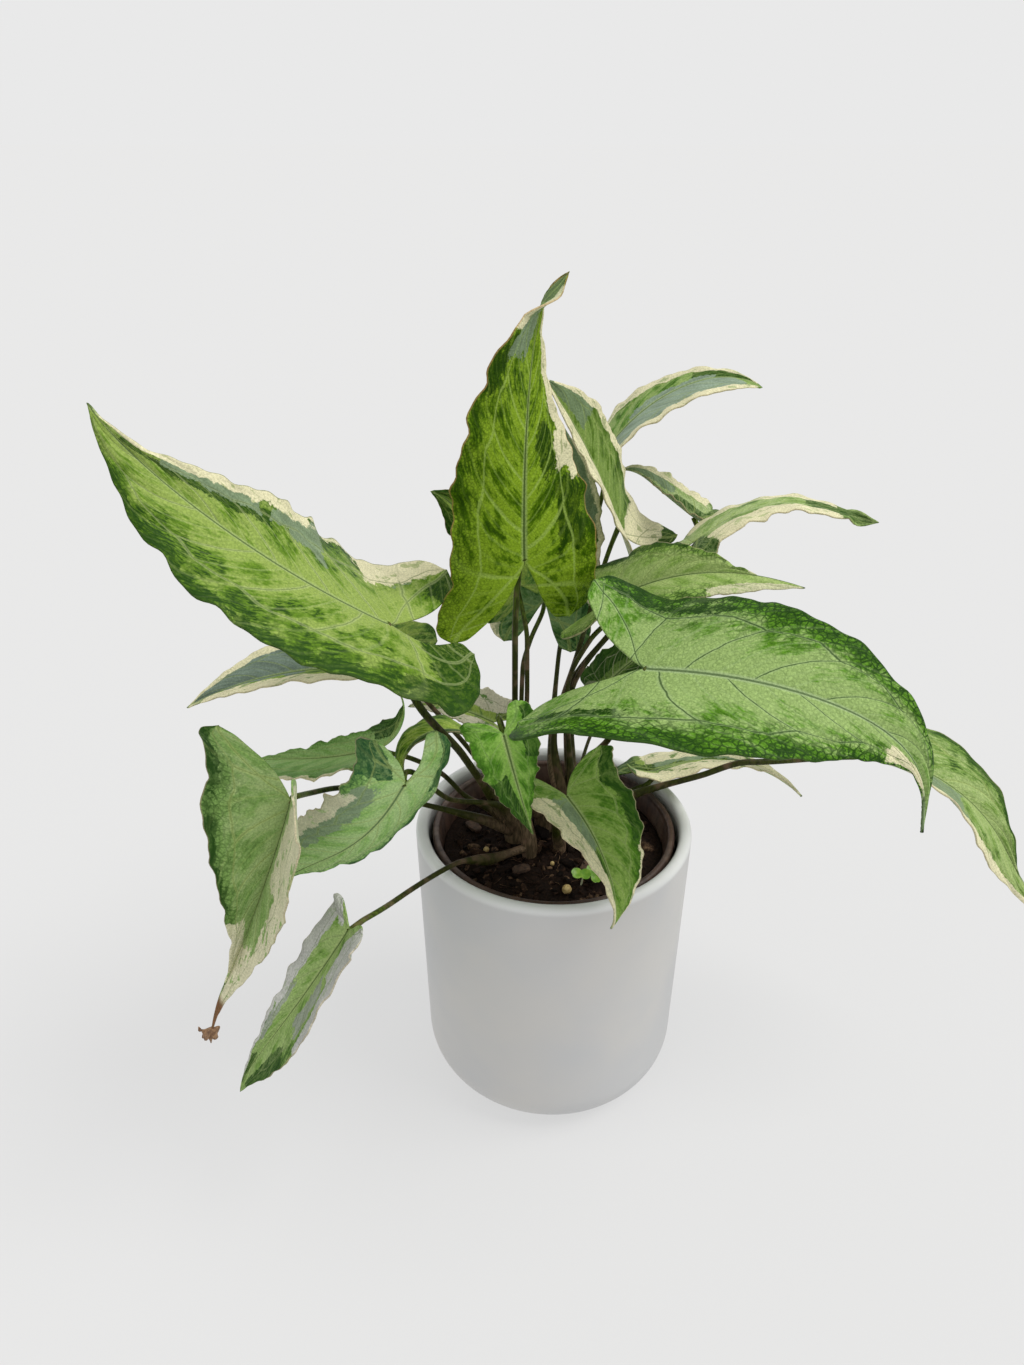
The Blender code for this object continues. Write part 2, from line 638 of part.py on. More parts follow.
def liner_profile():
    foot = POT_FLOOR + GAP
    roll = LINER_TOP - LINER_RIM_DEPTH
    inner_foot = foot + LINER_WALL
    return [
        (0, inner_foot),
        (liner_radius(inner_foot) - LINER_WALL, inner_foot),
        (liner_radius(LINER_TOP) - LINER_WALL, LINER_TOP - LINER_EDGE),
        (liner_radius(LINER_TOP) - LINER_WALL + LINER_EDGE, LINER_TOP),
        (LINER_RIM_RADIUS - LINER_EDGE, LINER_TOP),
        (LINER_RIM_RADIUS, LINER_TOP - LINER_EDGE),
        (LINER_RIM_RADIUS, roll),
        (liner_radius(roll), roll),
        (liner_radius(foot), foot),
        (0, foot),
    ]


def soil_height(r, angle):
    """The soil's surface: a low mound, uneven as potting mix settles."""
    rough = sin(3 * angle + 1) * 0.5 + sin(5 * angle + 200 * r) * 0.5
    edge = min(1, (liner_radius(SOIL_TOP) - r) / SOIL_EDGE)
    return SOIL_TOP + SOIL_MOUND * (edge - 0.5) + SOIL_ROUGHNESS * rough * (r > GAP)


def soil_body(collection):
    """Fills the nursery pot and has a plain hole for each shoot."""
    foot = POT_FLOOR + GAP + LINER_WALL + GAP
    reach = liner_radius(SOIL_TOP) - LINER_WALL - 2 * GAP
    shape = bmesh.new()
    bmesh.ops.create_cone(
        shape,
        cap_ends=True,
        cap_tris=True,
        segments=SOIL_SIDES,
        radius1=liner_radius(foot) - LINER_WALL - 2 * GAP,
        radius2=reach,
        depth=SOIL_TOP - foot,
        matrix=Matrix.Translation((0, 0, (SOIL_TOP + foot) / 2)),
    )
    spokes = [
        edge
        for edge in shape.edges
        if all(vert.co.z > SOIL_TOP - 0.0001 for vert in edge.verts)
        and min(vert.co.xy.length for vert in edge.verts) < 0.0001
    ]
    bmesh.ops.subdivide_edges(shape, edges=spokes, cuts=SOIL_RINGS - 1, use_grid_fill=False)
    bmesh.ops.triangulate(shape, faces=shape.faces)
    for vert in shape.verts:
        if vert.co.z > SOIL_TOP - 0.0001:
            angle = np.arctan2(vert.co.y, vert.co.x)
            vert.co.z = soil_height(vert.co.xy.length, angle)
    return add_object("soil", mesh_from_bmesh("soil", shape), collection, SOIL_MIX)


def cut(obj, cutter):
    hole = obj.modifiers.new(cutter.name, "BOOLEAN")
    hole.operation = "DIFFERENCE"
    hole.object = cutter
    cutter.hide_render = True
    cutter.display_type = "WIRE"


# Loose bits on the soil
def soil_under(x, y):
    return soil_height(float(np.hypot(x, y)), float(np.arctan2(y, x)))


def pellet(number, x, y, radius, collection):
    shape = bmesh.new()
    bmesh.ops.create_icosphere(shape, subdivisions=1, radius=radius)
    mesh = mesh_from_bmesh("pellet", shape)
    height = soil_under(x, y) + radius + SEAT
    add_object(f"pellet_{number}", mesh, collection, PELLET_CREAM, (x, y, height))


def bark_flake(number, x, y, length, width, turn, collection):
    shape = bmesh.new()
    bmesh.ops.create_cube(shape, size=1)
    bmesh.ops.scale(shape, vec=(length, width, BARK_THICKNESS), verts=shape.verts)
    bmesh.ops.bevel(
        shape, geom=shape.edges, offset=BARK_EDGE, segments=1, affect="EDGES"
    )
    about = Matrix.Rotation(radians(turn), 3, "Z")
    bmesh.ops.rotate(shape, cent=(0, 0, 0), matrix=about, verts=shape.verts)
    mesh = mesh_from_bmesh("bark", shape)
    height = soil_under(x, y) + BARK_THICKNESS / 2 + SEAT
    add_object(f"bark_{number}", mesh, collection, BARK_BROWN, (x, y, height))


def seedling(number, x, y, height, headings, collection):
    """A thread stem with round leaflets, fused."""
    pieces = new_collection(f"seedling {number}")
    ground = soil_under(x, y) + SEAT
    top = Vector((x, y, ground + height))
    tube("thread", [(x, y, ground), tuple(top)], [THREAD_RADIUS, THREAD_RADIUS], pieces)
    for heading in headings:
        out = Vector((cos(radians(heading)), sin(radians(heading)), LEAFLET_RISE)) * LEAFLET_RADIUS * 0.9
        shape = bmesh.new()
        bmesh.ops.create_cone(
            shape,
            cap_ends=True,
            segments=10,
            radius1=LEAFLET_RADIUS,
            radius2=LEAFLET_RADIUS,
            depth=LEAFLET_THICKNESS,
        )
        place = tuple(top + out - Vector((0, 0, LEAFLET_THICKNESS)))
        add_object("leaflet", mesh_from_bmesh("leaflet", shape), pieces, location=place)
    joined(f"seedling_{number}", pieces, SEEDLING_GREEN, collection)
    bpy.data.collections.remove(pieces)


def build():
    clear_scene()
    plant = new_collection("arrowhead plant")
    cutters = new_collection("cutters")
    turned("cache_pot", cache_pot_profile(), POT_SIDES, CERAMIC, plant)
    liner = turned("nursery_pot", liner_profile(), LINER_SIDES, BROWN_PLASTIC, plant)
    for k in range(DRAINS):
        angle = 2 * pi * k / DRAINS
        x, y = DRAIN_RING * cos(angle), DRAIN_RING * sin(angle)
        low, high = POT_FLOOR - DRAIN_RADIUS, POT_FLOOR + DRAIN_RADIUS
        cut(liner, cylinder("drain", x, y, low, high, DRAIN_RADIUS, DRAIN_SIDES, cutters))
    soil = soil_body(plant)
    for name, shoot in SHOOTS.items():
        hole = cylinder(
            "hole " + name,
            shoot.x,
            shoot.y,
            STUB_LOW - GAP,
            POT_HEIGHT,
            shoot.radius + GAP,
            STUB_SIDES,
            cutters,
        )
        cut(soil, hole)
        shoot_of_stems(name, shoot, plant)
    for number, (name, leaf) in enumerate(LEAVES.items()):
        leaf_blade(name, leaf, LEAF_PHASE * number, plant)
    for number, bit in enumerate(PELLETS, 1):
        pellet(number, *bit, plant)
    for number, bit in enumerate(BARK, 1):
        bark_flake(number, *bit, plant)
    for number, bit in enumerate(SEEDLINGS, 1):
        seedling(number, *bit, plant)


build()
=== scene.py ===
"""Looks of the potted arrowhead plant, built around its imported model.

Metres, +Z up, in the model's own place. The origin is the centre of the cache pot's foot and -Y is
the side that shows best.
"""

import json
from collections import namedtuple
from math import cos, pi, radians, sin
from types import SimpleNamespace

import bmesh
import bpy
import numpy as np
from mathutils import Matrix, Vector, noise

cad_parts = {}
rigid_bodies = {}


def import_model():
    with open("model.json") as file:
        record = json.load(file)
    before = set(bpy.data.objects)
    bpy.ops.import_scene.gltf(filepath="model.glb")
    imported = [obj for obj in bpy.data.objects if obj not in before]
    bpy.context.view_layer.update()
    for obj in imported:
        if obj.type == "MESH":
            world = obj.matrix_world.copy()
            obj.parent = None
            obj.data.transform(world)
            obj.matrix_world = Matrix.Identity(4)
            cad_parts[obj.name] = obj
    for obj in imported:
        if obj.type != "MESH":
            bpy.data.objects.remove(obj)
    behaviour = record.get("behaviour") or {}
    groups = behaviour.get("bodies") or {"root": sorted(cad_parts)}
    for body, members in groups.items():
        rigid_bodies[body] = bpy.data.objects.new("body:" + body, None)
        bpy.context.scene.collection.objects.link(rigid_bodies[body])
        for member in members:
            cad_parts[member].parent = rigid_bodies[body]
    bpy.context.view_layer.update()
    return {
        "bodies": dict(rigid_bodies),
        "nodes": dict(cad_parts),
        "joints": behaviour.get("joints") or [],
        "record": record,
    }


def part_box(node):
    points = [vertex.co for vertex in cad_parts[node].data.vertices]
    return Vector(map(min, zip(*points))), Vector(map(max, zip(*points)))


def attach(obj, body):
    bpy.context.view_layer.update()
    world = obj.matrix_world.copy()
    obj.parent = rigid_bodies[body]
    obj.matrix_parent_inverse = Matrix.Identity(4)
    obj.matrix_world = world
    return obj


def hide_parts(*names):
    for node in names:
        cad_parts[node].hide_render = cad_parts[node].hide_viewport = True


BODY = "root"

# Camera: place, tilt below the horizon in degrees, and the lens on a sensor as high as the frame
CAMERA_PLACE = (-0.0204, -0.412, 0.450)
CAMERA_TILT = 28.5
CAMERA_LENS = 27.06
CAMERA_SENSOR = 36.0

# Pots
POT_HEIGHT = 0.150
POT_RIM_RADIUS = 0.0675
POT_FOOT_RADIUS = 0.0650
POT_CORNER = 0.025
POT_WALL = 0.006
POT_FLOOR = 0.008
POT_SIDES = 160
LINER_TOP = 0.1465
LINER_RIM_RADIUS = 0.0595
LINER_MOUTH_RADIUS = 0.0575
LINER_FOOT_RADIUS = 0.0400
LINER_WALL = 0.0014
LINER_RIM_DEPTH = 0.006
GAP = 0.0003

# Soil
SOIL_TOP = 0.135
SOIL_MOUND = 0.002
SOIL_ROUGHNESS = 0.0008
SOIL_EDGE = 0.02
SOIL_DEPTH = 0.010
SOIL_RINGS = 90
SOIL_SPOKES = 220
SOIL_SMOOTH_EDGE = 0.002
BED_SHADE = 0.35
CHIPS = 760
CHIP_LENGTHS = (0.0006, 0.0022)
FIBRES = 170
FIBRE_LENGTHS = (0.003, 0.011)
FIBRE_RADII = (0.00012, 0.00028)
FIBRE_RINGS = 9
SOIL_SEED = 11

# Leaf blades
BLADE_THICKNESS = 0.0007
# Grid of a half blade. A leaf as long as GRID_LENGTH takes all the steps and rows.
GRID_LENGTH = 0.15
GRID_LEAST = 0.55
GRID_STEPS = 9
COLUMNS_AHEAD = 9
COLUMNS_BACK = 4
GRID_ROWS = 40
LOBE_SHARE = 0.3
MIDRIB_STEPS = 40
NOD_FROM = 0.6
HOOK_FROM = 0.84
FULL_SCALE = 0.0675
WAVE_HEIGHT = 0.0010
WAVE_COUNT = 3.5
LEAF_PHASE = 0.9
HALF_PHASE = 1.3
# Ruffles of the margin: waves along the blade and the share of each
RUFFLES = ((41, 1.0), (67, 0.7), (118, 0.6))
LIFT_WAVES = 53
LIFT_SHARE = 1.2
QUILT = 0.0009
QUILT_LENGTH = 0.14
GROOVE = 0.0006
GROOVE_WIDTH = 0.0018

# Half of a flat blade: how far along the leaf and how far out from the midrib, at shares u of the way
# from the lobe's tip to the blade's tip. Distances before the stalk count in lobe lengths (below 0),
# after it in blade lengths, and widths count in half widths.
OUTER_U = (0, .07, .15, .25, .35, .5, .65, .8, .9, .96, 1)
OUTER_ALONG = (-1, -.88, -.60, -.12, .12, .33, .54, .74, .87, .95, 1)
OUTER_ACROSS = (.60, .86, .99, .98, .93, .80, .585, .33, .15, .055, 0)
INNER_U = (0, .05, .12, .22, .3)
INNER_ALONG = (-1, -.96, -.72, -.28, 0)
INNER_ACROSS = (.60, .42, .28, .13, 0)

# Stems
STEM_NECK = 0.0055
STUB_TOP = 0.145
STUB_DEPTH = 0.004
STUB_SPREAD = 0.4
# Heights of a shoot and its share of the full radius there
STUB_TAPER = ((0.128, 1), (0.138, 1), (STUB_TOP, 0.92), (STUB_TOP + 0.012, 0.25))
STUB_RINGS = 16
STUB_SIDES = 20
STEM_RINGS = 72
STEM_SIDES = 14
STEM_UNDER = 0.0006
STEM_AHEAD = 0.0015

# Sizes in metres, angles in degrees. Pairs are (left, right), looking from the stalk to the tip.
# arch bends the blade down along its length and nod bends its last third. sweep and hook bend it
# sideways, twist turns it about its midrib and tip turns its last part more. fold, curl and droop lift
# each half and each lobe.
Leaf = namedtuple(
    "Leaf",
    "base heading pitch roll length half lobe splay full arch nod sweep hook twist fold curl droop tip",
    defaults=(0,),
)
LEAVES = {
    "left_large": Leaf(
        base=(-0.070, -0.035, 0.272), heading=220, pitch=37, roll=-13, length=0.142,
        half=(0.048, 0.047), lobe=(0.047, 0.048), splay=(-24, 4), full=(3, -13),
        arch=-10, nod=-4, sweep=-43, hook=-18, twist=-90,
        fold=(-3, 11), curl=(-13, -4), droop=(-18, -56),
    ),
    "centre_tall": Leaf(
        base=(-0.015, 0.004, 0.284), heading=56, pitch=92, roll=59, length=0.121,
        half=(0.034, 0.037), lobe=(0.040, 0.038), splay=(21, 7), full=(25, -16),
        arch=11, nod=-28, sweep=-17, hook=-40, twist=47, tip=110,
        fold=(5, 3), curl=(-31, -10), droop=(11, 28),
    ),
    "centre_narrow": Leaf(
        base=(0.033, 0.068, 0.275), heading=211, pitch=66, roll=-47, length=0.087,
        half=(0.024, 0.024), lobe=(0.034, 0.039), splay=(5, 21), full=(3, 35),
        arch=12, nod=3, sweep=3, hook=-5, twist=-32,
        fold=(26, 7), curl=(-6, 1), droop=(10, -60),
    ),
    "centre_back": Leaf(
        base=(-0.004, 0.066, 0.238), heading=43, pitch=78, roll=39, length=0.087,
        half=(0.025, 0.026), lobe=(0.025, 0.025), splay=(5, 5), full=(0, 29),
        arch=4, nod=-12, sweep=9, hook=-3, twist=2,
        fold=(12, 9), curl=(-15, -17), droop=(10, 10),
    ),
    "back_high": Leaf(
        base=(0.027, 0.109, 0.302), heading=355, pitch=56, roll=14, length=0.093,
        half=(0.024, 0.026), lobe=(0.032, 0.032), splay=(5, 5), full=(-4, 26),
        arch=66, nod=23, sweep=-17, hook=-12, twist=11,
        fold=(4, 9), curl=(-2, 7), droop=(10, 10),
    ),
    "back_curled": Leaf(
        base=(0.072, 0.079, 0.277), heading=139, pitch=24, roll=0, length=0.049,
        half=(0.013, 0.014), lobe=(0.009, 0.009), splay=(5, 12), full=(0, 18),
        arch=-9, nod=44, sweep=6, hook=19, twist=-11,
        fold=(35, 21), curl=(2, -13), droop=(10, -3),
    ),
    "right_arching": Leaf(
        base=(0.067, 0.040, 0.281), heading=23, pitch=33, roll=-27, length=0.088,
        half=(0.024, 0.025), lobe=(0.019, 0.018), splay=(5, 15), full=(4, 11),
        arch=91, nod=-39, sweep=-25, hook=-10, twist=10, tip=100,
        fold=(9, 2), curl=(-8, -23), droop=(10, 28),
    ),
    "right_pale": Leaf(
        base=(0.031, 0.022, 0.261), heading=324, pitch=35, roll=28, length=0.086,
        half=(0.027, 0.025), lobe=(0.031, 0.030), splay=(6, 4), full=(-32, 6),
        arch=52, nod=1, sweep=-9, hook=6, twist=32,
        fold=(21, 20), curl=(-31, -6), droop=(-2, 5),
    ),
    "right_large": Leaf(
        base=(0.031, -0.058, 0.264), heading=325, pitch=15, roll=15, length=0.151,
        half=(0.050, 0.049), lobe=(0.045, 0.050), splay=(15, -3), full=(-9, -20),
        arch=100, nod=18, sweep=50, hook=33, twist=76,
        fold=(12, -6), curl=(-26, 27), droop=(-40, 24),
    ),
    "far_right": Leaf(
        base=(0.148, -0.002, 0.191), heading=355, pitch=-14, roll=1, length=0.134,
        half=(0.038, 0.038), lobe=(0.045, 0.045), splay=(5, 5), full=(-33, -7),
        arch=78, nod=-60, sweep=-33, hook=4, twist=88,
        fold=(20, 12), curl=(-27, 25), droop=(10, 6),
    ),
    "low_cream": Leaf(
        base=(0.053, 0.027, 0.161), heading=14, pitch=11, roll=-22, length=0.084,
        half=(0.023, 0.023), lobe=(0.019, 0.021), splay=(5, -3), full=(1, -2),
        arch=62, nod=-2, sweep=-6, hook=-3, twist=11,
        fold=(15, 14), curl=(-15, -31), droop=(10, -60),
    ),
    "front_right": Leaf(
        base=(0.004, -0.034, 0.187), heading=295, pitch=-2, roll=-5, length=0.070,
        half=(0.027, 0.022), lobe=(0.023, 0.023), splay=(29, 7), full=(10, -5),
        arch=67, nod=41, sweep=1, hook=18, twist=-38,
        fold=(21, 15), curl=(7, -15), droop=(-33, 15),
    ),
    "front_left": Leaf(
        base=(-0.024, -0.043, 0.225), heading=321, pitch=-72, roll=39, length=0.050,
        half=(0.015, 0.016), lobe=(0.013, 0.012), splay=(-3, 35), full=(-14, 0),
        arch=10, nod=-4, sweep=4, hook=3, twist=-1,
        fold=(14, 13), curl=(-12, -17), droop=(2, -7),
    ),
    "left_hanging": Leaf(
        base=(-0.108, -0.077, 0.215), heading=160, pitch=-70, roll=-77, length=0.123,
        half=(0.034, 0.035), lobe=(0.036, 0.033), splay=(-2, 28), full=(-4, -25),
        arch=-28, nod=-4, sweep=8, hook=30, twist=-53,
        fold=(43, 56), curl=(0, -31), droop=(-35, 5),
    ),
    "left_broad": Leaf(
        base=(-0.064, -0.064, 0.214), heading=182, pitch=-63, roll=-123, length=0.082,
        half=(0.024, 0.025), lobe=(0.027, 0.021), splay=(-19, 32), full=(-11, 44),
        arch=44, nod=-36, sweep=-39, hook=-18, twist=35,
        fold=(0, 0), curl=(-28, -36), droop=(16, -17),
    ),
    "left_flat": Leaf(
        base=(-0.082, -0.003, 0.193), heading=154, pitch=-27, roll=-13, length=0.084,
        half=(0.026, 0.013), lobe=(0.016, 0.023), splay=(5, 52), full=(27, -8),
        arch=-30, nod=24, sweep=6, hook=35, twist=-10,
        fold=(18, 21), curl=(0, 26), droop=(8, 8),
    ),
    "young_curled": Leaf(
        base=(-0.034, -0.012, 0.199), heading=191, pitch=53, roll=27, length=0.059,
        half=(0.016, 0.016), lobe=(0.009, 0.009), splay=(5, 5), full=(-7, 9),
        arch=140, nod=28, sweep=-10, hook=2, twist=1,
        fold=(10, 23), curl=(-25, -11), droop=(10, 9),
    ),
    "left_low": Leaf(
        base=(-0.081, 0.000, 0.234), heading=170, pitch=-4, roll=-7, length=0.102,
        half=(0.028, 0.028), lobe=(0.022, 0.023), splay=(6, 5), full=(1, 1),
        arch=29, nod=0, sweep=7, hook=-2, twist=-25,
        fold=(24, 21), curl=(2, -10), droop=(14, 10),
    ),
    "bottom_left": Leaf(
        base=(-0.087, -0.091, 0.161), heading=197, pitch=-56, roll=-23, length=0.093,
        half=(0.021, 0.017), lobe=(0.008, 0.006), splay=(-6, 25), full=(30, -5),
        arch=-8, nod=13, sweep=-2, hook=21, twist=-41,
        fold=(28, 14), curl=(14, -35), droop=(7, 6),
    ),
    "behind_left": Leaf(
        base=(-0.030, 0.042, 0.180), heading=212, pitch=40, roll=-36, length=0.052,
        half=(0.015, 0.016), lobe=(0.013, 0.013), splay=(6, 5), full=(4, 11),
        arch=28, nod=10, sweep=12, hook=7, twist=-8,
        fold=(21, 26), curl=(-3, -3), droop=(13, 10),
    ),
    "dark_small": Leaf(
        base=(0.027, 0.042, 0.202), heading=358, pitch=53, roll=32, length=0.050,
        half=(0.015, 0.014), lobe=(0.009, 0.009), splay=(-5, 5), full=(12, 0),
        arch=37, nod=22, sweep=-18, hook=-11, twist=4,
        fold=(21, 12), curl=(-8, -15), droop=(16, 10),
    ),
    "centre_hidden": Leaf(
        base=(-0.017, 0.046, 0.255), heading=211, pitch=59, roll=-89, length=0.069,
        half=(0.020, 0.020), lobe=(0.019, 0.019), splay=(26, 5), full=(13, 16),
        arch=11, nod=-11, sweep=16, hook=18, twist=3,
        fold=(-4, 8), curl=(-27, -16), droop=(35, 10),
    ),
}

# The points that each leaf stem passes, by the shoot that it grows from
STEMS = {
    "left": {
        "left_large": [(-0.026, -0.004, 0.158), (-0.042, -0.030, 0.206), (-0.061, -0.038, 0.239)],
        "left_hanging": [
            (-0.031, -0.008, 0.154), (-0.066, -0.024, 0.177), (-0.092, -0.042, 0.197),
            (-0.104, -0.062, 0.208),
        ],
        "left_broad": [(-0.025, -0.010, 0.164), (-0.048, -0.032, 0.184)],
        "left_flat": [(-0.029, 0.002, 0.153), (-0.042, 0.001, 0.162), (-0.055, -0.001, 0.178)],
        "young_curled": [(-0.021, -0.002, 0.156), (-0.027, -0.007, 0.181)],
        "left_low": [(-0.024, 0.005, 0.158), (-0.041, 0.011, 0.183), (-0.062, 0.018, 0.207)],
        "behind_left": [(-0.018, 0.016, 0.150), (-0.023, 0.032, 0.170)],
    },
    "centre": {
        "centre_tall": [(-0.018, 0.011, 0.165), (-0.019, 0.009, 0.212), (-0.019, 0.007, 0.245)],
        "centre_back": [(-0.016, 0.029, 0.165), (-0.015, 0.050, 0.207), (-0.011, 0.057, 0.220)],
        "centre_hidden": [(-0.015, 0.018, 0.173), (-0.013, 0.028, 0.207), (-0.013, 0.040, 0.228)],
    },
    "right": {
        "centre_narrow": [(0.000, 0.014, 0.187), (0.010, 0.024, 0.226)],
        "back_high": [(0.000, 0.030, 0.165), (0.004, 0.070, 0.202), (0.009, 0.088, 0.221)],
        "back_curled": [(0.006, 0.022, 0.205), (0.028, 0.034, 0.237), (0.051, 0.046, 0.262)],
        "right_arching": [(0.008, 0.021, 0.205), (0.031, 0.029, 0.243)],
        "right_pale": [(0.006, 0.016, 0.214), (0.016, 0.018, 0.239)],
        "right_large": [(0.010, 0.002, 0.172), (0.025, -0.008, 0.203)],
        "dark_small": [(0.013, 0.020, 0.159), (0.023, 0.047, 0.176)],
        "far_right": [(0.038, 0.000, 0.164), (0.069, -0.004, 0.178), (0.091, -0.006, 0.187)],
        "low_cream": [(0.024, 0.014, 0.142), (0.041, 0.022, 0.152)],
    },
    "front": {
        "front_right": [(0.000, -0.019, 0.160)],
    },
    "low": {
        "bottom_left": [(-0.028, -0.023, 0.144), (-0.047, -0.042, 0.155), (-0.069, -0.067, 0.157)],
        "front_left": [(-0.017, -0.012, 0.170), (-0.020, -0.016, 0.192)],
    },
}

# Where each shoot leaves the soil, and how thick it is there.
Shoot = namedtuple("Shoot", "x y radius")
SHOOTS = {
    "left": Shoot(-0.018, 0.003, 0.0062),
    "centre": Shoot(-0.003, 0.013, 0.0060),
    "right": Shoot(0.011, 0.008, 0.0065),
    "front": Shoot(0.003, -0.006, 0.0032),
    "low": Shoot(-0.012, -0.010, 0.0040),
}

# Foot and top radius of each leaf stem
STEM_WIDTH = (0.0030, 0.0012)
STEM_WIDTHS = {
    "left_large": (0.0034, 0.0017),
    "centre_tall": (0.0034, 0.0014),
    "right_large": (0.0036, 0.0015),
    "far_right": (0.0032, 0.0015),
    "bottom_left": (0.0020, 0.0012),
    "young_curled": (0.0024, 0.0010),
    "front_left": (0.0024, 0.0009),
    "dark_small": (0.0022, 0.0009),
    "behind_left": (0.0022, 0.0009),
}
# Leafy sheaths: how much they thicken the stem, and where along it they start, are widest and end
STEM_SHEATHS = {"bottom_left": (0.0013, 0.08, 0.24, 0.38)}
NO_SHEATH = (0, 0.1, 0.2, 0.3)
# Necks behind the blade that are shorter than the others
STEM_NECKS = {"left_hanging": 0.0012, "left_broad": 0.003}

# Withered end of the hanging leaf: strips as lean in degrees and length
CURL_STRIPS = ((60, 0.012), (100, 0.009), (20, 0.008))
CURL_WIDTH = 0.0022
CURL_RINGS = 22
CURL_ROWS = 7

# Loose bits on the soil. Bark flakes: length, width, turn in degrees
BARK = ((0.013, 0.006, 70), (0.009, 0.005, 20), (0.010, 0.005, 130))
# Seedlings: x, y, height and the leaflets' headings in degrees. Their stems are shortened to the rise,
# and their leaflets tilt to the viewer.
SEEDLINGS = ((0.012, -0.033, 0.010, (200, 330)), (0.019, -0.031, 0.007, (20, 160, 270)))
SEEDLING_RISE = 0.7
SEEDLING_TILT = 0.5
SEEDLING_RINGS = 14
SEEDLING_RADIUS = 0.00042
LEAFLET_RADIUS = 0.0026
LEAFLET_SLOPE = 0.15
LEAFLET_RINGS = 7
LEAFLET_SPOKES = 28
LEAFLET_HALF = 0.0002
SEAT = 0.00045

# Colours, as shader values
# Painted shade: the white glaze of the pot's wall is painted a darker grey, standing in for the shade on
# the wall
GLAZE_SHADED_COLOUR = (0.545, 0.535, 0.515)
# Painted highlight: the pot's rounded lip is painted lighter than the wall, standing in for the light on
# its top
GLAZE_LIP_HIGHLIGHT = (0.70, 0.71, 0.705)
GLAZE_SHADE = (0.505, 0.51, 0.515)
LINER_COLOUR = (0.080, 0.043, 0.029)
LINER_DARK = (0.035, 0.019, 0.014)
LINER_DUST = (0.20, 0.14, 0.10)
SOIL_DARK = (0.006, 0.0035, 0.0025)
SOIL_BROWN = (0.036, 0.018, 0.011)
SOIL_LIGHT = (0.30, 0.19, 0.11)
# Painted light: the stems' foot is their own mauve-brown, painted lighter to make up for the shade under
# the leaves
STEM_FOOT_COLOUR = (0.200, 0.140, 0.085)
STEM_COLOUR = (0.034, 0.041, 0.006)
STEM_TOP_COLOUR = (0.085, 0.135, 0.014)
STEM_DARK = (0.014, 0.014, 0.004)
STEM_BLUSH = (0.22, 0.130, 0.095)
STEM_SPECULAR = 0.1
SOIL_SPECULAR = 0.15
SEEDLING_GREEN = (0.13, 0.31, 0.02)
SEEDLING_LIGHT = (0.26, 0.46, 0.05)
SEEDLING_STEM = (0.62, 0.66, 0.42)
DRIED = (0.20, 0.10, 0.05)
# Light and dark of the small pieces
WITHERED = (0.34, 0.20, 0.10), (0.13, 0.065, 0.03)
BALL_CREAM = (0.60, 0.46, 0.20), (0.42, 0.28, 0.10)
BARK_BROWN = (0.10, 0.055, 0.032), (0.035, 0.02, 0.013)
GLAZE_SPECK = (0.45, 0.42, 0.38)
FLOOR_COLOUR = (0.20, 0.20, 0.20)
FLOOR_GLOW = 0.552
SKY_COLOUR = (1.0, 1.0, 1.0)
SKY_STRENGTH = 0.815
# Key light: where it comes from, its strength, how wide it is in degrees, and its colour
KEY_FROM = (0.52, -0.10, 0.85)
KEY_STRENGTH = 1.85
KEY_WIDTH = 32.0
KEY_COLOUR = (1.0, 0.985, 0.96)

# Leaf patterns: kinds of patch and how soft their borders are, places of the veins, scales of the
# noises and of the two nets, in cells a metre
KINDS = ("cream", "grey", "dark", "pale")
PATCH_SOFT_ALONG = 0.10
PATCH_SOFT_ACROSS = 0.30
SIDE_VEINS = 8.0
LOOP_PLACE = 0.60
LOOP_BULGE = 0.16
# Finer veins between two side veins: how many to each, half width, softness and strength
FINE_VEINS = ((2.0, 0.015, 0.06, 0.45), (4.0, 0.02, 0.12, 0.22))
BLOTCH_SCALE = 105
STREAK_SCALE = 300
FLECK_SCALE = 820
FLECK_DRAW = 0.42
GRAIN_SCALE = 1000
WANDER_SCALE = 150
NET_SCALE = 640
MESH_SCALE = 360
MESH_SHAKE = 0.004
PATTERN_SHIFT = 0.31
HEM_FROM = 0.978
HEM_FULL = 0.992
LEAF_SPECULAR = 0.06

# Painted patches. kind is one of KINDS and sides holds 1 (left) and -1 (right). start and end are shares
# u from the lobe's tip to the blade's tip, low and high are shares v from midrib to margin at both.
BOTH, LEFT, RIGHT = (1, -1), (1,), (-1,)
MIDRIB, MARGIN = (-1, -1), (3, 3)
Patch = namedtuple("Patch", "kind sides start end low high", defaults=(MARGIN,))


def on(kind, sides, *areas):
    """Patches of one kind. Each area is start, end, low and, where it stops before the margin, high."""
    return [Patch(kind, sides, *area) for area in areas]


# A leaf's colours, how strongly each shows and how far it reaches
LOOK_DEFAULTS = {
    "mid": (0.130, 0.255, 0.022),
    "light": (0.340, 0.460, 0.090),
    "deep": (0.018, 0.060, 0.006),
    "grey": (0.240, 0.325, 0.190),
    "cream": (0.800, 0.755, 0.490),
    "vein": (0.440, 0.540, 0.170),
    "rib": (0.40, 0.50, 0.20),
    "hem": (0.52, 0.44, 0.27),
    "underside": (0.27, 0.36, 0.20),
    "pale_width": 0.014,
    "contrast": 0.9,
    "blotch": 1.0,
    "margin": 0.25,
    "mottle": 0.8,
    "thread": 0.28,
    "core": 0.30,
    "vein_strength": 0.5,
    "rib_core": 0.7,
    "hem_strength": 0.55,
    "flecks": 0.5,
    "ruffle": 0.0006,
    "dry": 1.2,
    "stalk_pale": 0.15,
    "stalk_reach": 0.03,
    "mesh": 0.25,
    "grainy": 1.0,
    "patches": (),
}
Look = namedtuple("Look", LOOK_DEFAULTS, defaults=LOOK_DEFAULTS.values())
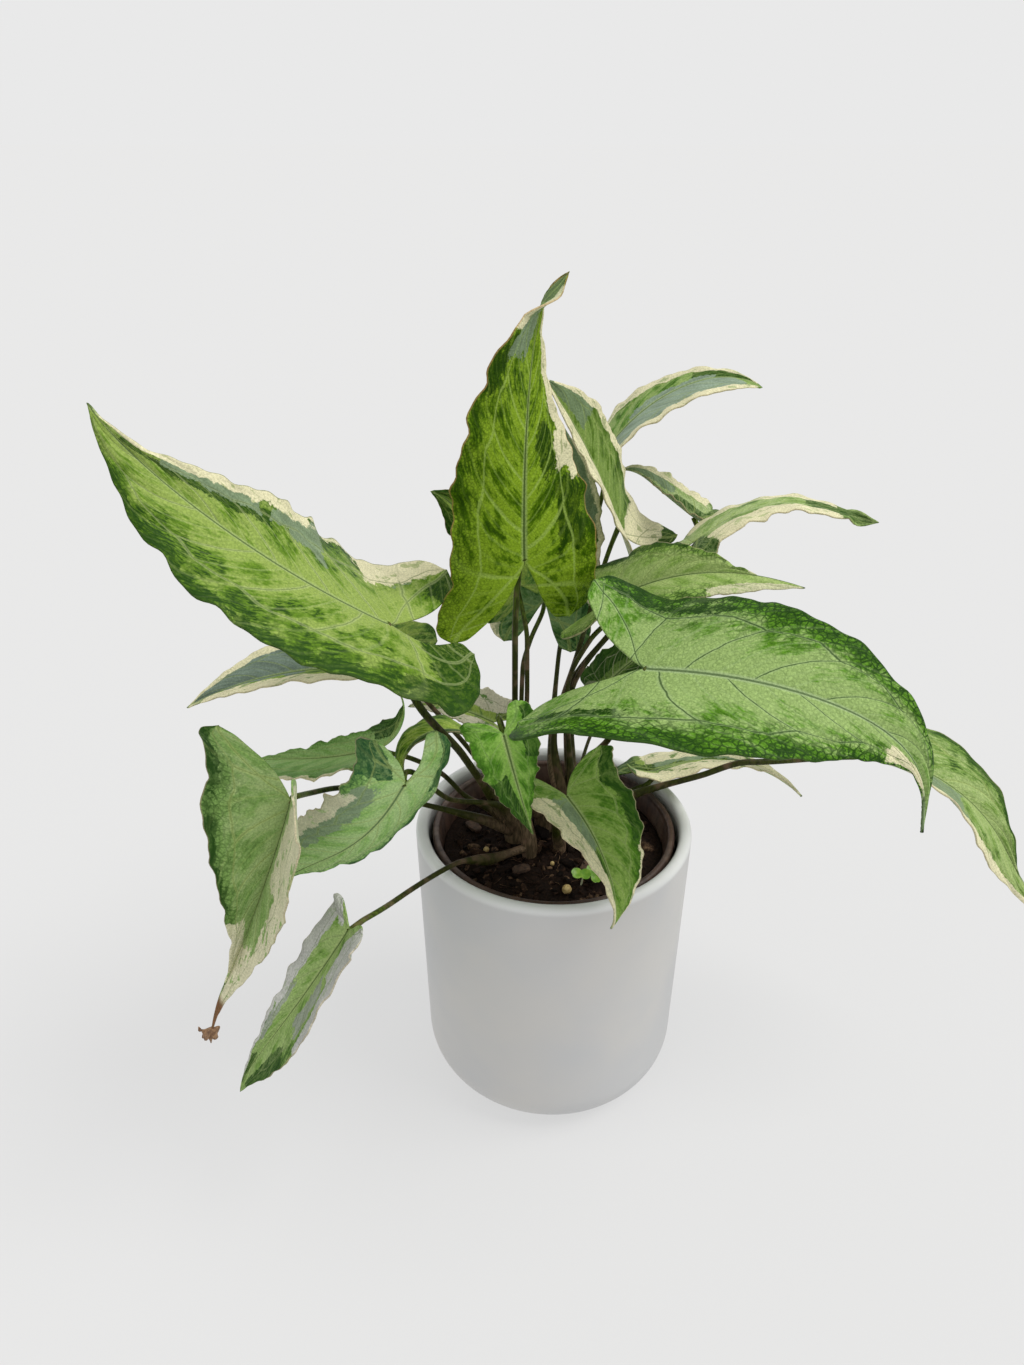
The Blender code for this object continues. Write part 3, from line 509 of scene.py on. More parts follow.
LOOKS = {
    "left_large": Look(
        mid=(0.135, 0.255, 0.018), light=(0.34, 0.45, 0.105), deep=(0.018, 0.056, 0.006), margin=0.35,
        core=0.45, vein_strength=0.48, mottle=1.0, blotch=1.0, ruffle=0.001, vein=(0.5, 0.58, 0.26),
        mesh=0.5, hem=(0.05, 0.09, 0.02),
        patches=[
            *on("cream", RIGHT,
                (0.47, 0.97, (0.84, 0.72)), (0.28, 0.5, (0.95, 0.93)), (0.0, 0.3, (0.55, 0.6))),
            *on("grey", RIGHT,
                (0.44, 0.6, (0.4, 0.6), (0.95, 1.0)), (0.64, 0.84, (0.62, 0.55), (0.95, 0.9)),
                (0.02, 0.2, (0.62, 0.55), (0.9, 0.85))),
            *on("dark", RIGHT, (0.6, 0.92, (0.5, 0.35), (0.72, 0.65)), (-0.1, 0.12, MIDRIB, (0.45, 0.4))),
            *on("dark", LEFT,
                (0.3, 0.86, (0.9, 0.86), (0.98, 0.98)), (-0.1, 0.34, (0.05, 0.8)), (-0.1, 0.22, MIDRIB)),
            *on("pale", RIGHT, (0.2, 0.52, MIDRIB, (0.45, 0.2))),
            *on("pale", LEFT, (0.36, 0.9, MIDRIB, (0.16, 0.1))),
        ],
    ),
    "centre_tall": Look(
        mid=(0.07, 0.152, 0.0005), light=(0.255, 0.4, 0.022), deep=(0.013, 0.042, 0.0003), grainy=1.4,
        mesh=0.35, vein=(0.36, 0.5, 0.11), rib=(0.3, 0.39, 0.14), margin=0.05, vein_strength=0.62,
        core=0.05, rib_core=0.75, blotch=0.9, mottle=0.6, pale_width=0.016, ruffle=0.0009, stalk_pale=0.16,
        stalk_reach=0.045, hem=(0.5, 0.3, 0.12), thread=0.5, contrast=0.95,
        patches=[
            *on("cream", RIGHT, (0.47, 0.9, (0.86, 0.52)), (0.5, 0.6, (0.58, 0.7))),
            *on("pale", LEFT, (-0.1, 0.24, MIDRIB)),
            *on("dark", RIGHT,
                (0.3, 0.48, (0.45, 0.5), (0.85, 0.9)), (0.5, 0.62, (0.35, 0.2), (0.75, 0.6))),
            *on("cream", LEFT, (0.84, 0.97, (0.8, 0.6))),
            *on("grey", LEFT, (0.79, 0.9, (0.3, 0.2), (0.75, 0.9))),
            *on("dark", LEFT, (0.7, 0.8, (0.78, 0.7))),
            *on("dark", BOTH, (0.92, 1.1, MIDRIB, (0.8, 0.8))),
        ],
    ),
    "centre_narrow": Look(
        mid=(0.085, 0.17, 0.012), light=(0.23, 0.34, 0.08), deep=(0.02, 0.055, 0.006),
        grey=(0.19, 0.27, 0.14),
        patches=[
            *on("cream", LEFT, (0.0, 1.1, (0.15, 0.15))),
            *on("cream", RIGHT, (0.28, 0.97, (0.88, 0.78)), (0.12, 0.3, MIDRIB)),
            *on("grey", RIGHT, (0.76, 1.0, (0.2, 0.1), (0.85, 0.85))),
            *on("dark", RIGHT, (-0.1, 0.12, MIDRIB)),
        ],
    ),
    "centre_back": Look(
        mid=(0.065, 0.165, 0.04), light=(0.2, 0.32, 0.13), deep=(0.015, 0.05, 0.014),
        patches=[
            *on("grey", RIGHT, (0.58, 1.1, (0.55, 0.3))),
            *on("cream", LEFT, (-0.1, 0.25, (0.75, 0.75))),
            *on("cream", BOTH, (0.3, 0.95, (0.92, 0.85))),
        ],
    ),
    "back_high": Look(
        mid=(0.11, 0.25, 0.03), light=(0.33, 0.45, 0.15), deep=(0.016, 0.058, 0.003),
        grey=(0.3, 0.39, 0.29),
        patches=[
            *on("cream", LEFT, (0.25, 0.98, (0.78, 0.6))),
            *on("cream", RIGHT, (0.3, 0.98, (0.84, 0.7))),
            *on("grey", RIGHT, (0.25, 0.9, MIDRIB, (0.9, 0.8))),
            *on("grey", LEFT, (0.45, 0.8, MIDRIB, (0.25, 0.25))),
            *on("dark", LEFT, (0.72, 1.0, MIDRIB, (0.8, 0.7))),
        ],
    ),
    "back_curled": Look(
        mid=(0.22, 0.34, 0.09), light=(0.42, 0.52, 0.24), deep=(0.02, 0.066, 0.006),
        patches=[
            *on("cream", RIGHT, (0.3, 1.1, (0.7, 0.45))),
            *on("grey", RIGHT, (0.55, 1.0, (0.2, 0.1), (0.55, 0.6))),
            *on("dark", RIGHT, (-0.1, 0.55, MIDRIB, (0.45, 0.3)), (-0.1, 0.25, MIDRIB)),
            *on("dark", LEFT, (-0.1, 0.8, MIDRIB)),
        ],
    ),
    "right_arching": Look(
        mid=(0.25, 0.38, 0.1), light=(0.42, 0.53, 0.22), deep=(0.022, 0.07, 0.006), mottle=0.4,
        patches=[
            *on("cream", LEFT, (0.3, 0.84, (0.62, 0.5))),
            *on("cream", RIGHT, (0.3, 0.84, (0.45, 0.55))),
            *on("dark", BOTH, (0.72, 1.0, MIDRIB, (0.8, 0.7))),
            *on("dark", RIGHT, (-0.1, 0.3, MIDRIB)),
        ],
    ),
    "right_pale": Look(
        mid=(0.24, 0.39, 0.075), light=(0.42, 0.54, 0.19), cream=(0.64, 0.64, 0.4), blotch=0.4, mottle=0.1,
        mesh=0.8, grainy=0.5, vein_strength=0.35,
        patches=[
            *on("cream", RIGHT, (0.66, 1.1, (0.7, 0.25))),
            *on("cream", LEFT, (0.78, 1.1, (0.75, 0.3))),
            *on("dark", LEFT, (-0.1, 0.55, (0.72, 0.88))),
        ],
    ),
    "right_large": Look(
        mid=(0.11, 0.28, 0.014), light=(0.35, 0.495, 0.165), deep=(0.012, 0.046, 0.003),
        vein=(0.39, 0.52, 0.25), rib=(0.4, 0.52, 0.27), pale_width=0.036, vein_strength=0.45, margin=0.42,
        mottle=0.35, blotch=0.42, core=0.8, contrast=1.0, thread=0.42, stalk_pale=0.15, mesh=1.0,
        grainy=0.9, stalk_reach=0.06, hem=(0.05, 0.1, 0.02), ruffle=0.0006,
        patches=[
            *on("dark", LEFT, (-0.1, 0.4, (0.78, 0.94)), (0.1, 0.4, (0.62, 0.72), (0.78, 0.84))),
            *on("dark", RIGHT, (-0.1, 0.36, (0.86, 0.97)), (0.12, 0.3, (0.45, 0.55), (0.6, 0.65))),
            *on("cream", RIGHT, (0.76, 0.92, (0.35, 0.2), (0.9, 0.9))),
            *on("pale", BOTH, (0.26, 0.8, MIDRIB, (0.3, 0.2))),
        ],
    ),
    "far_right": Look(
        mid=(0.185, 0.315, 0.06), light=(0.4, 0.51, 0.2), blotch=0.8,
        patches=[
            *on("grey", RIGHT, (0.05, 0.55, (0.05, 0.05), (0.85, 0.85))),
            *on("cream", RIGHT, (0.05, 0.98, (0.84, 0.7))),
            *on("dark", LEFT, (0.45, 0.9, (0.88, 0.8))),
        ],
    ),
    "low_cream": Look(
        mid=(0.15, 0.25, 0.06), flecks=1.0,
        patches=[
            *on("cream", LEFT, (0.25, 1.1, (0.3, 0.1))),
            *on("cream", RIGHT, (0.1, 1.1, (0.55, 0.1))),
            *on("grey", LEFT, (0.3, 0.7, (0.1, 0.1), (0.55, 0.45))),
            *on("dark", BOTH, (0.2, 0.75, MIDRIB, (0.3, 0.15))),
            *on("dark", LEFT, (-0.1, 0.2, MIDRIB)),
        ],
    ),
    "front_right": Look(
        mid=(0.092, 0.225, 0.016), light=(0.29, 0.43, 0.1), vein=(0.4, 0.52, 0.18), mottle=0.3, grainy=0.7,
        blotch=0.7,
        patches=[
            *on("cream", RIGHT, (0.3, 0.98, (0.5, 0.35))),
            *on("grey", RIGHT, (0.33, 0.62, MIDRIB, (0.78, 0.6))),
            *on("cream", LEFT, (0.6, 0.98, (0.96, 0.85))),
            *on("dark", RIGHT, (0.56, 0.74, (0.2, 0.2), (0.6, 0.6))),
            *on("dark", LEFT, (0.02, 0.6, (0.6, 0.78))),
        ],
    ),
    "front_left": Look(
        mid=(0.095, 0.265, 0.018), light=(0.3, 0.52, 0.1), mottle=0.3, grainy=0.7, pale_width=0.007,
        vein=(0.36, 0.54, 0.18), vein_strength=0.35,
        patches=[
            *on("dark", RIGHT, (0.55, 1.1, (0.3, 0.1))),
            *on("dark", LEFT, (0.1, 0.45, (0.55, 0.55))),
        ],
    ),
    "left_hanging": Look(
        mid=(0.235, 0.4, 0.105), light=(0.42, 0.55, 0.23), cream=(0.76, 0.73, 0.5), flecks=0.9, grainy=0.6,
        blotch=0.3, mottle=0.2, dry=0.9, mesh=0.6, margin=0.45,
        patches=[
            *on("cream", LEFT, (-0.1, 0.54, (0.12, 0.16)), (0.46, 0.8, (0.46, 0.6)), (0.74, 1.1, MIDRIB)),
            *on("cream", RIGHT, (0.66, 1.1, (0.4, -1))),
            *on("dark", RIGHT, (-0.1, 0.3, (0.72, 0.86)), (0.35, 0.62, (0.88, 0.9))),
        ],
    ),
    # Painted light: this leaf's own light green is painted lighter still, to make up for the shade that
    # falls on it
    "left_broad": Look(
        mid=(0.265, 0.49, 0.12), light=(0.46, 0.64, 0.27), deep=(0.025, 0.09, 0.03), grainy=0.6,
        grey=(0.27, 0.37, 0.22), cream=(0.68, 0.66, 0.47), ruffle=0.0008, mottle=0.2, blotch=0.35, mesh=0.6,
        patches=[
            *on("cream", RIGHT, (0.38, 0.8, (0.7, 0.78))),
            *on("grey", RIGHT, (0.32, 0.8, (0.42, 0.52), (0.8, 0.85))),
            *on("dark", RIGHT, (-0.1, 0.28, (0.1, 0.3))),
            *on("dark", LEFT, (-0.1, 0.32, (0.5, 0.72)), (0.4, 0.7, (0.86, 0.9))),
        ],
    ),
    "left_flat": Look(
        mid=(0.2, 0.4, 0.09), light=(0.36, 0.54, 0.2), mottle=0.15, blotch=0.4, grainy=0.4,
        patches=[
            *on("cream", LEFT, (0.3, 0.9, (0.93, 0.93))),
            *on("dark", RIGHT, (-0.1, 0.34, (0.1, 0.4))),
        ],
    ),
    "young_curled": Look(
        mid=(0.15, 0.27, 0.022), light=(0.36, 0.48, 0.085), pale_width=0.006, ruffle=0.0002,
        patches=[
            *on("dark", LEFT, (0.3, 0.8, (0.2, 0.2))),
        ],
    ),
    "left_low": Look(
        grey=(0.21, 0.275, 0.225), mid=(0.14, 0.26, 0.05), flecks=0.7,
        patches=[
            *on("cream", RIGHT, (0.5, 1.1, (0.8, 0.55))),
            *on("grey", RIGHT, (0.48, 0.96, MIDRIB, (0.86, 0.8))),
            *on("cream", LEFT, (0.1, 1.1, (0.62, 0.25))),
            *on("grey", LEFT, (0.52, 0.9, MIDRIB, (0.35, 0.25))),
        ],
    ),
    "bottom_left": Look(
        mid=(0.19, 0.33, 0.07), light=(0.34, 0.46, 0.17), cream=(0.52, 0.52, 0.49), mottle=0.5,
        grey=(0.34, 0.38, 0.3), flecks=0.3, vein=(0.34, 0.42, 0.18),
        patches=[
            *on("cream", RIGHT,
                (-0.1, 0.3, (0.1, 0.2)), (0.2, 0.66, (0.42, 0.7)), (0.6, 1.1, (0.84, 0.84))),
            *on("cream", LEFT, (-0.1, 0.44, (0.2, 0.34)), (0.4, 0.68, (0.62, 0.85))),
            *on("grey", RIGHT, (0.55, 0.78, (0.45, 0.55), (0.8, 0.85))),
            *on("grey", LEFT, (0.46, 0.66, (0.25, 0.3), (0.58, 0.7))),
            *on("dark", LEFT, (0.74, 0.97, (0.45, 0.4))),
            *on("dark", RIGHT, (0.84, 0.97, (0.3, 0.3), (0.75, 0.75))),
        ],
    ),
    "behind_left": Look(
        mid=(0.12, 0.22, 0.06), cream=(0.62, 0.59, 0.44), flecks=1.0,
        patches=[
            *on("cream", BOTH, (0.1, 1.1, (0.35, 0.2))),
            *on("dark", RIGHT, (-0.1, 0.3, (0.1, 0.1))),
        ],
    ),
    "dark_small": Look(
        mid=(0.045, 0.105, 0.012), light=(0.14, 0.23, 0.05), vein=(0.5, 0.5, 0.34),
        patches=[
            *on("dark", BOTH, (-0.1, 0.6, (0.3, 0.3))),
        ],
    ),
    "centre_hidden": Look(
        mid=(0.105, 0.24, 0.045), hem=(0.6, 0.42, 0.34), hem_strength=0.9,
        patches=[
            *on("dark", BOTH, (0.7, 1.1, (0.4, 0.2))),
        ],
    ),
}


# Small mathematics
def smooth(x, xs, ys):
    """A smooth curve through the points that never overshoots them."""
    xs, ys = np.asarray(xs, float), np.asarray(ys, float)
    steps = np.diff(xs)
    rises = np.diff(ys) / steps
    slopes = np.zeros(len(xs))
    before = 2 * steps[1:] + steps[:-1]
    after = steps[1:] + 2 * steps[:-1]
    same_way = rises[:-1] * rises[1:] > 0
    safe = np.where(same_way, rises[:-1] * rises[1:], 1)
    mean = (before + after) * safe / (before * rises[1:] + after * rises[:-1] + (~same_way))
    slopes[1:-1] = np.where(same_way, mean, 0)
    slopes[0], slopes[-1] = rises[0], rises[-1]
    k = np.clip(np.searchsorted(xs, x) - 1, 0, len(steps) - 1)
    step = steps[k]
    t = (x - xs[k]) / step
    return (
        ys[k] * (1 + 2 * t) * (1 - t) ** 2
        + ys[k + 1] * t * t * (3 - 2 * t)
        + step * (slopes[k] * t * (1 - t) ** 2 - slopes[k + 1] * t * t * (1 - t))
    )


def rotation(axis, angle):
    """Rotation matrices about one axis (0, 1 or 2), one for each angle."""
    angle = np.asarray(angle, float)
    c, s = np.cos(angle), np.sin(angle)
    a, b = [(1, 2), (2, 0), (0, 1)][axis]
    out = np.zeros(angle.shape + (3, 3))
    out[..., axis, axis] = 1
    out[..., a, a] = c
    out[..., b, b] = c
    out[..., a, b] = -s
    out[..., b, a] = s
    return out


def ease(x, low, high):
    t = np.clip((x - low) / (high - low), 0, 1)
    return t * t * (3 - 2 * t)


# Objects and materials
def add_object(name, mesh, materials=()):
    obj = bpy.data.objects.new(name, mesh)
    bpy.context.scene.collection.objects.link(obj)
    for material in materials:
        mesh.materials.append(material)
    return obj


def mesh_of(name, verts, faces):
    mesh = bpy.data.meshes.new(name)
    mesh.from_pydata([tuple(v) for v in verts], [], [tuple(int(i) for i in f) for f in faces])
    mesh.shade_smooth()
    return mesh


def add_bmesh(name, shape, material):
    """A smooth object from an edited shape, which is freed."""
    mesh = bpy.data.meshes.new(name)
    shape.to_mesh(mesh)
    shape.free()
    mesh.shade_smooth()
    return add_object(name, mesh, (material,))


def quads(grid, ring=False):
    """Faces between neighbours in a grid of point numbers. A ring's last column meets its first."""
    here = grid if ring else grid[:, :-1]
    there = np.roll(grid, -1, axis=1) if ring else grid[:, 1:]
    return np.stack((here[:-1], here[1:], there[1:], there[:-1]), axis=-1).reshape(-1, 4)


def fan(centre, ring, flip=False):
    """Triangles from a centre point to the sides of a ring."""
    sides = zip(ring, np.roll(ring, -1))
    return [(centre, b, a) if flip else (centre, a, b) for a, b in sides]


def ring_angles(count):
    return np.linspace(0, 2 * pi, count, endpoint=False)


class Nodes:
    """Writes shader nodes as short calls. Inputs are sockets, numbers or colours."""

    def __init__(self, name):
        self.material = bpy.data.materials.new(name)
        self.material.use_nodes = True
        self.tree = self.material.node_tree
        self.shader = self.tree.nodes["Principled BSDF"]

    def put(self, socket, value):
        if isinstance(value, bpy.types.NodeSocket):
            self.tree.links.new(value, socket)
        elif isinstance(value, tuple) and len(value) == 3 and socket.type == "RGBA":
            socket.default_value = (*value, 1)
        else:
            socket.default_value = value

    def node(self, kind, inputs=(), **settings):
        made = self.tree.nodes.new(kind)
        for key, value in settings.items():
            setattr(made, key, value)
        for key, value in dict(inputs).items():
            self.put(made.inputs[key], value)
        return made

    def set(self, **inputs):
        for key, value in inputs.items():
            self.put(self.shader.inputs[key.replace("_", " ")], value)

    def attribute(self, name):
        return self.node("ShaderNodeAttribute", attribute_name=name).outputs["Fac"]

    def place(self):
        return self.node("ShaderNodeTexCoord").outputs["Object"]

    def math(self, operation, *values, clamp=False):
        made = self.node("ShaderNodeMath", operation=operation, use_clamp=clamp)
        for k, value in enumerate(values):
            self.put(made.inputs[k], value)
        return made.outputs[0]

    def times(self, a, b):
        return self.math("MULTIPLY", a, b)

    def scaled(self, value, factor, plus):
        return self.math("MULTIPLY_ADD", value, factor, plus)

    def centred(self, value):
        return self.math("SUBTRACT", value, 0.5)

    def most(self, a, b):
        return self.math("MAXIMUM", a, b)

    def ramp(self, value, low, high, out_low=0.0, out_high=1.0):
        ends = {"From Min": low, "From Max": high, "To Min": out_low, "To Max": out_high}
        inputs = {"Value": value, **ends}
        return self.node("ShaderNodeMapRange", inputs, interpolation_type="SMOOTHSTEP").outputs["Result"]

    def mix(self, share, a, b):
        return self.node("ShaderNodeMix", {0: share, 6: a, 7: b}, data_type="RGBA").outputs[2]

    def joined(self, x, y, z):
        return self.node("ShaderNodeCombineXYZ", {0: x, 1: y, 2: z}).outputs[0]

    def stretched(self, vector, scale):
        return self.node("ShaderNodeVectorMath", {0: vector, 1: scale}, operation="MULTIPLY").outputs[0]

    def noise(self, vector, scale, detail, roughness):
        inputs = {"Vector": vector, "Scale": scale, "Detail": detail, "Roughness": roughness}
        return self.node("ShaderNodeTexNoise", inputs).outputs["Fac"]

    def cells(self, vector, scale, feature="DISTANCE_TO_EDGE"):
        inputs = {"Vector": vector, "Scale": scale}
        return self.node("ShaderNodeTexVoronoi", inputs, feature=feature).outputs["Distance"]

    def relief(self, height, strength, distance):
        inputs = {"Height": height, "Strength": strength, "Distance": distance}
        self.set(Normal=self.node("ShaderNodeBump", inputs).outputs["Normal"])


# Leaf blades
def leaf_frame(leaf):
    return (
        rotation(2, radians(leaf.heading))
        @ rotation(1, -radians(leaf.pitch))
        @ rotation(0, radians(leaf.roll))
    )


def midrib_turn(leaf, x):
    """How the midrib has turned by share x of the blade's length: down, sideways and about itself."""
    last = np.clip((x - HOOK_FROM) / (1 - HOOK_FROM), 0, 1)
    late = np.clip((x - NOD_FROM) / (1 - NOD_FROM), 0, 1)
    down = radians(leaf.arch) * x**1.3 + radians(leaf.nod) * late**1.5
    side = radians(leaf.sweep) * x**1.3 + radians(leaf.hook) * last
    about = radians(leaf.twist) * x**1.5 + radians(leaf.tip) * last
    return down, side, about


def flat_half(leaf, side, u, v):
    """Where a point of the half blade lies before it is bent: along and across, in metres."""
    half, lobe, splay, full = (
        pair[side < 0] for pair in (leaf.half, leaf.lobe, leaf.splay, leaf.full)
    )
    past_sinus = np.clip((u - LOBE_SHARE) / (1 - LOBE_SHARE), 0, 1)
    in_lobe = np.minimum(u, LOBE_SHARE)
    inner_along = np.where(u < LOBE_SHARE, smooth(in_lobe, INNER_U, INNER_ALONG), past_sinus)
    inner_across = np.where(u < LOBE_SHARE, smooth(in_lobe, INNER_U, INNER_ACROSS), 0)
    outer_along = smooth(u, OUTER_U, OUTER_ALONG)
    s = np.clip(outer_along, 0, 1)
    outer_across = smooth(u, OUTER_U, OUTER_ACROSS) + full * FULL_SCALE * s * s * (1 - s)
    inner_along, outer_along = (
        np.where(a < 0, a * lobe, a * leaf.length) for a in (inner_along, outer_along)
    )
    along = inner_along * (1 - v) + outer_along * v
    across = (inner_across * (1 - v) + outer_across * v) * half
    back = np.clip(-along / lobe, 0, 1)
    turn = radians(splay) * back * back * (3 - 2 * back)
    return along * np.cos(turn), across * np.cos(turn) - along * np.sin(turn)


def running_sum(directions, step):
    return np.concatenate([np.zeros((1, 3)), np.cumsum(directions * step, axis=0)])


def vein_count(u, v):
    """A number that is whole on each side vein: they leave the midrib slanting and bend to the tip."""
    slant = 0.155 * ease(u, 0.16, 0.5) - 0.10 * (1 - ease(u, 0.02, 0.3))
    bend = v + 0.45 * v * v * ease(u, 0.3, 0.6)
    return SIDE_VEINS * (u - slant * bend)


def lobe_vein(u, v, width):
    """Signed distance from the strong vein that runs from the stalk down the lobe."""
    path = 0.42 * (1 - ease(u, 0.0, LOBE_SHARE) ** 3)
    return (v - path) * width


def surface_relief(leaf, u, v, along, across):
    """The blade swells between its veins and sinks along its midrib."""
    between = np.abs(np.sin(pi * vein_count(u, v)))
    swell = between**0.7 * np.clip(4 * v * (1 - v), 0, 1) ** 0.6
    size = min(1.0, leaf.length / QUILT_LENGTH)
    groove = np.exp(-((across / GROOVE_WIDTH) ** 2)) * ease(along, -0.002, 0.004)
    return QUILT * size * (swell - 0.5) * np.clip(v * 6, 0, 1) - GROOVE * groove


def blade_points(leaf, side, u, v, phase, ruffle):
    """The half blade's points in the world, and its flat coordinates. side is 1 (left) or -1."""
    half, lobe, fold, curl, droop = (
        pair[side < 0] for pair in (leaf.half, leaf.lobe, leaf.fold, leaf.curl, leaf.droop)
    )
    fold, curl, droop = radians(fold), radians(curl) + 0.0001, radians(droop)
    along, across = flat_half(leaf, side, u, v)
    waves = sum(size * np.sin(rate * u + k * phase) for k, (rate, size) in enumerate(RUFFLES, 1))
    across = across + ruffle * v**4 * waves * np.sin(pi * u)
    shares = np.linspace(0, 1, MIDRIB_STEPS + 1)
    middles = (shares[1:] + shares[:-1]) / 2
    down, sideways, _ = midrib_turn(leaf, middles)
    ahead_ways = (rotation(2, sideways) @ rotation(1, down))[:, :, 0]
    midrib = running_sum(ahead_ways, leaf.length / MIDRIB_STEPS)
    lobe_line = running_sum(-rotation(1, -droop * middles)[:, :, 0], lobe / MIDRIB_STEPS)
    ahead, back = np.clip(along / leaf.length, 0, 1), np.clip(-along / lobe, 0, 1)
    spine = np.stack(
        [
            np.where(
                along >= 0,
                np.interp(ahead, shares, midrib[:, k]),
                np.interp(back, shares, lobe_line[:, k]),
            )
            for k in range(3)
        ],
        axis=-1,
    )
    down, sideways, about = midrib_turn(leaf, ahead)
    turn = np.where(
        (along >= 0)[..., None, None],
        rotation(2, sideways) @ rotation(1, down) @ rotation(0, about),
        rotation(1, -droop * back),
    )
    q = across / half
    out = half / curl * (np.sin(fold + curl * q) - np.sin(fold))
    up = -half / curl * (np.cos(fold + curl * q) - np.cos(fold))
    up = up + WAVE_HEIGHT * q * q * np.sin(2 * pi * WAVE_COUNT * u + phase)
    up = up + surface_relief(leaf, u, v, along, across)
    up = up + LIFT_SHARE * ruffle * v**5 * np.sin(LIFT_WAVES * u + 1.7 * phase) * np.sin(pi * u)
    local = spine + np.einsum("...ij,...j->...i", turn, np.stack([0 * out, side * out, up], axis=-1))
    return np.array(leaf.base) + local @ leaf_frame(leaf).T, along, across


def field(u, v, patch):
    """Above 0 inside the patch, falling off past its borders."""
    share = np.clip((u - patch.start) / max(patch.end - patch.start, 1e-6), 0, 1)
    low = patch.low[0] + (patch.low[1] - patch.low[0]) * share
    high = patch.high[0] + (patch.high[1] - patch.high[0]) * share
    reach = [
        (u - patch.start) / PATCH_SOFT_ALONG,
        (patch.end - u) / PATCH_SOFT_ALONG,
        (v - low) / PATCH_SOFT_ACROSS,
        (high - v) / PATCH_SOFT_ACROSS,
    ]
    return np.clip(np.minimum.reduce(reach), -1, 1)


def cover(look, kind, side, u, v):
    """The field of all the leaf's patches of one kind on one half."""
    total = np.full(u.shape, -1.0)
    for patch in look.patches:
        if patch.kind == kind and side in patch.sides:
            total = np.maximum(total, field(u, v, patch))
    return total


def blade_grid(leaf):
    """Shares u and v of a half blade's grid, finer on larger leaves."""
    size = np.clip(leaf.length / GRID_LENGTH, GRID_LEAST, 1)
    steps, rows = int(round(GRID_STEPS * size)), int(round(GRID_ROWS * size))
    in_lobe = np.linspace(0, LOBE_SHARE, steps * COLUMNS_BACK + 1)[:-1]
    ahead = np.linspace(LOBE_SHARE, 1, steps * COLUMNS_AHEAD + 1)
    return np.meshgrid(np.concatenate([in_lobe, ahead]), np.linspace(0, 1, rows + 1), indexing="ij")


def half_arrays(leaf, look, side, phase):
    u, v = blade_grid(leaf)
    points, along, across = blade_points(leaf, side, u, v, phase, look.ruffle)
    width = np.abs(across[:, -1:] - across[:, :1])
    values = {
        "along": along,
        "across": across * side,
        "veins": vein_count(u, v) + 0.37 * (side < 0),
        "lobe_vein": np.where(u < LOBE_SHARE + 0.02, lobe_vein(u, v, width), 1),
        "share": u,
        "edge": v,
    }
    for kind in KINDS:
        values[kind] = cover(look, kind, side, u, v)
    return points, values


def blade_object(name, leaf, look, phase):
    """The whole blade as one sheet with thickness. Its painted fields ride on its points."""
    left, left_values = half_arrays(leaf, look, 1, phase)
    right, right_values = half_arrays(leaf, look, -1, phase + HALF_PHASE)
    columns, rows = left.shape[0], left.shape[1]
    index = np.arange(columns * rows).reshape(columns, rows)
    mirror = index + columns * rows
    u, _ = blade_grid(leaf)
    on_midrib = u[:, 0] >= LOBE_SHARE - 1e-9
    mirror[on_midrib, 0] = index[on_midrib, 0]

    faces = np.concatenate([quads(index), quads(mirror)[:, ::-1]])
    verts = np.concatenate([left.reshape(-1, 3), right.reshape(-1, 3)])
    mesh = mesh_of(name, verts, faces)
    for key in left_values:
        layer = mesh.attributes.new(key, "FLOAT", "POINT")
        both = np.concatenate([left_values[key].ravel(), right_values[key].ravel()])
        layer.data.foreach_set("value", both.astype(np.float32))
    shape = bmesh.new()
    shape.from_mesh(mesh)
    loose = [vert for vert in shape.verts if not vert.link_faces]
    bmesh.ops.delete(shape, geom=loose, context="VERTS")
    bmesh.ops.remove_doubles(shape, verts=shape.verts, dist=0.00001)
    shape.to_mesh(mesh)
    shape.free()
    materials = [leaf_material(name, look, under) for under in (False, True)]
    obj = add_object("blade_" + name, mesh, materials)
    solidify = obj.modifiers.new("thickness", "SOLIDIFY")
    solidify.thickness = BLADE_THICKNESS
    solidify.offset = 0
    solidify.material_offset = 1
    mesh.shade_smooth()
    return obj


# Leaf materials
def leaf_place(nodes, name):
    """The blade's flat coordinates, shifted so that no two leaves share a pattern."""
    shift = PATTERN_SHIFT * list(LEAVES).index(name)
    return nodes.joined(nodes.attribute("along"), nodes.attribute("across"), shift)


def vein_place(nodes, name):
    """Coordinates that run along the side veins, drawn out so that flecks lie the same way."""
    leaf = LEAVES[name]
    along = nodes.times(nodes.attribute("veins"), leaf.length / SIDE_VEINS)
    across = nodes.times(nodes.attribute("edge"), leaf.half[0] * FLECK_DRAW)
    return nodes.joined(along, across, PATTERN_SHIFT * list(LEAVES).index(name))


def ragged(nodes, kind, wander, amount):
    """A patch's mask with a torn border, from its smooth field."""
    moved = nodes.scaled(nodes.centred(wander), amount, nodes.attribute(kind))
    return nodes.ramp(moved, -0.05, 0.05)


def near_line(nodes, value, width, soft):
    """1 on the line where the value is 0, falling to 0 past its width."""
    return nodes.ramp(nodes.math("ABSOLUTE", value), width, width + soft, 1.0, 0.0)


def side_vein_distance(nodes, count, number=1.0):
    """How far off the nearest side vein lies, from 0 on it to 0.5 between two."""
    scaled = nodes.scaled(count, number, 0.5)
    return nodes.math("ABSOLUTE", nodes.math("SUBTRACT", nodes.math("FRACT", scaled), 0.5))


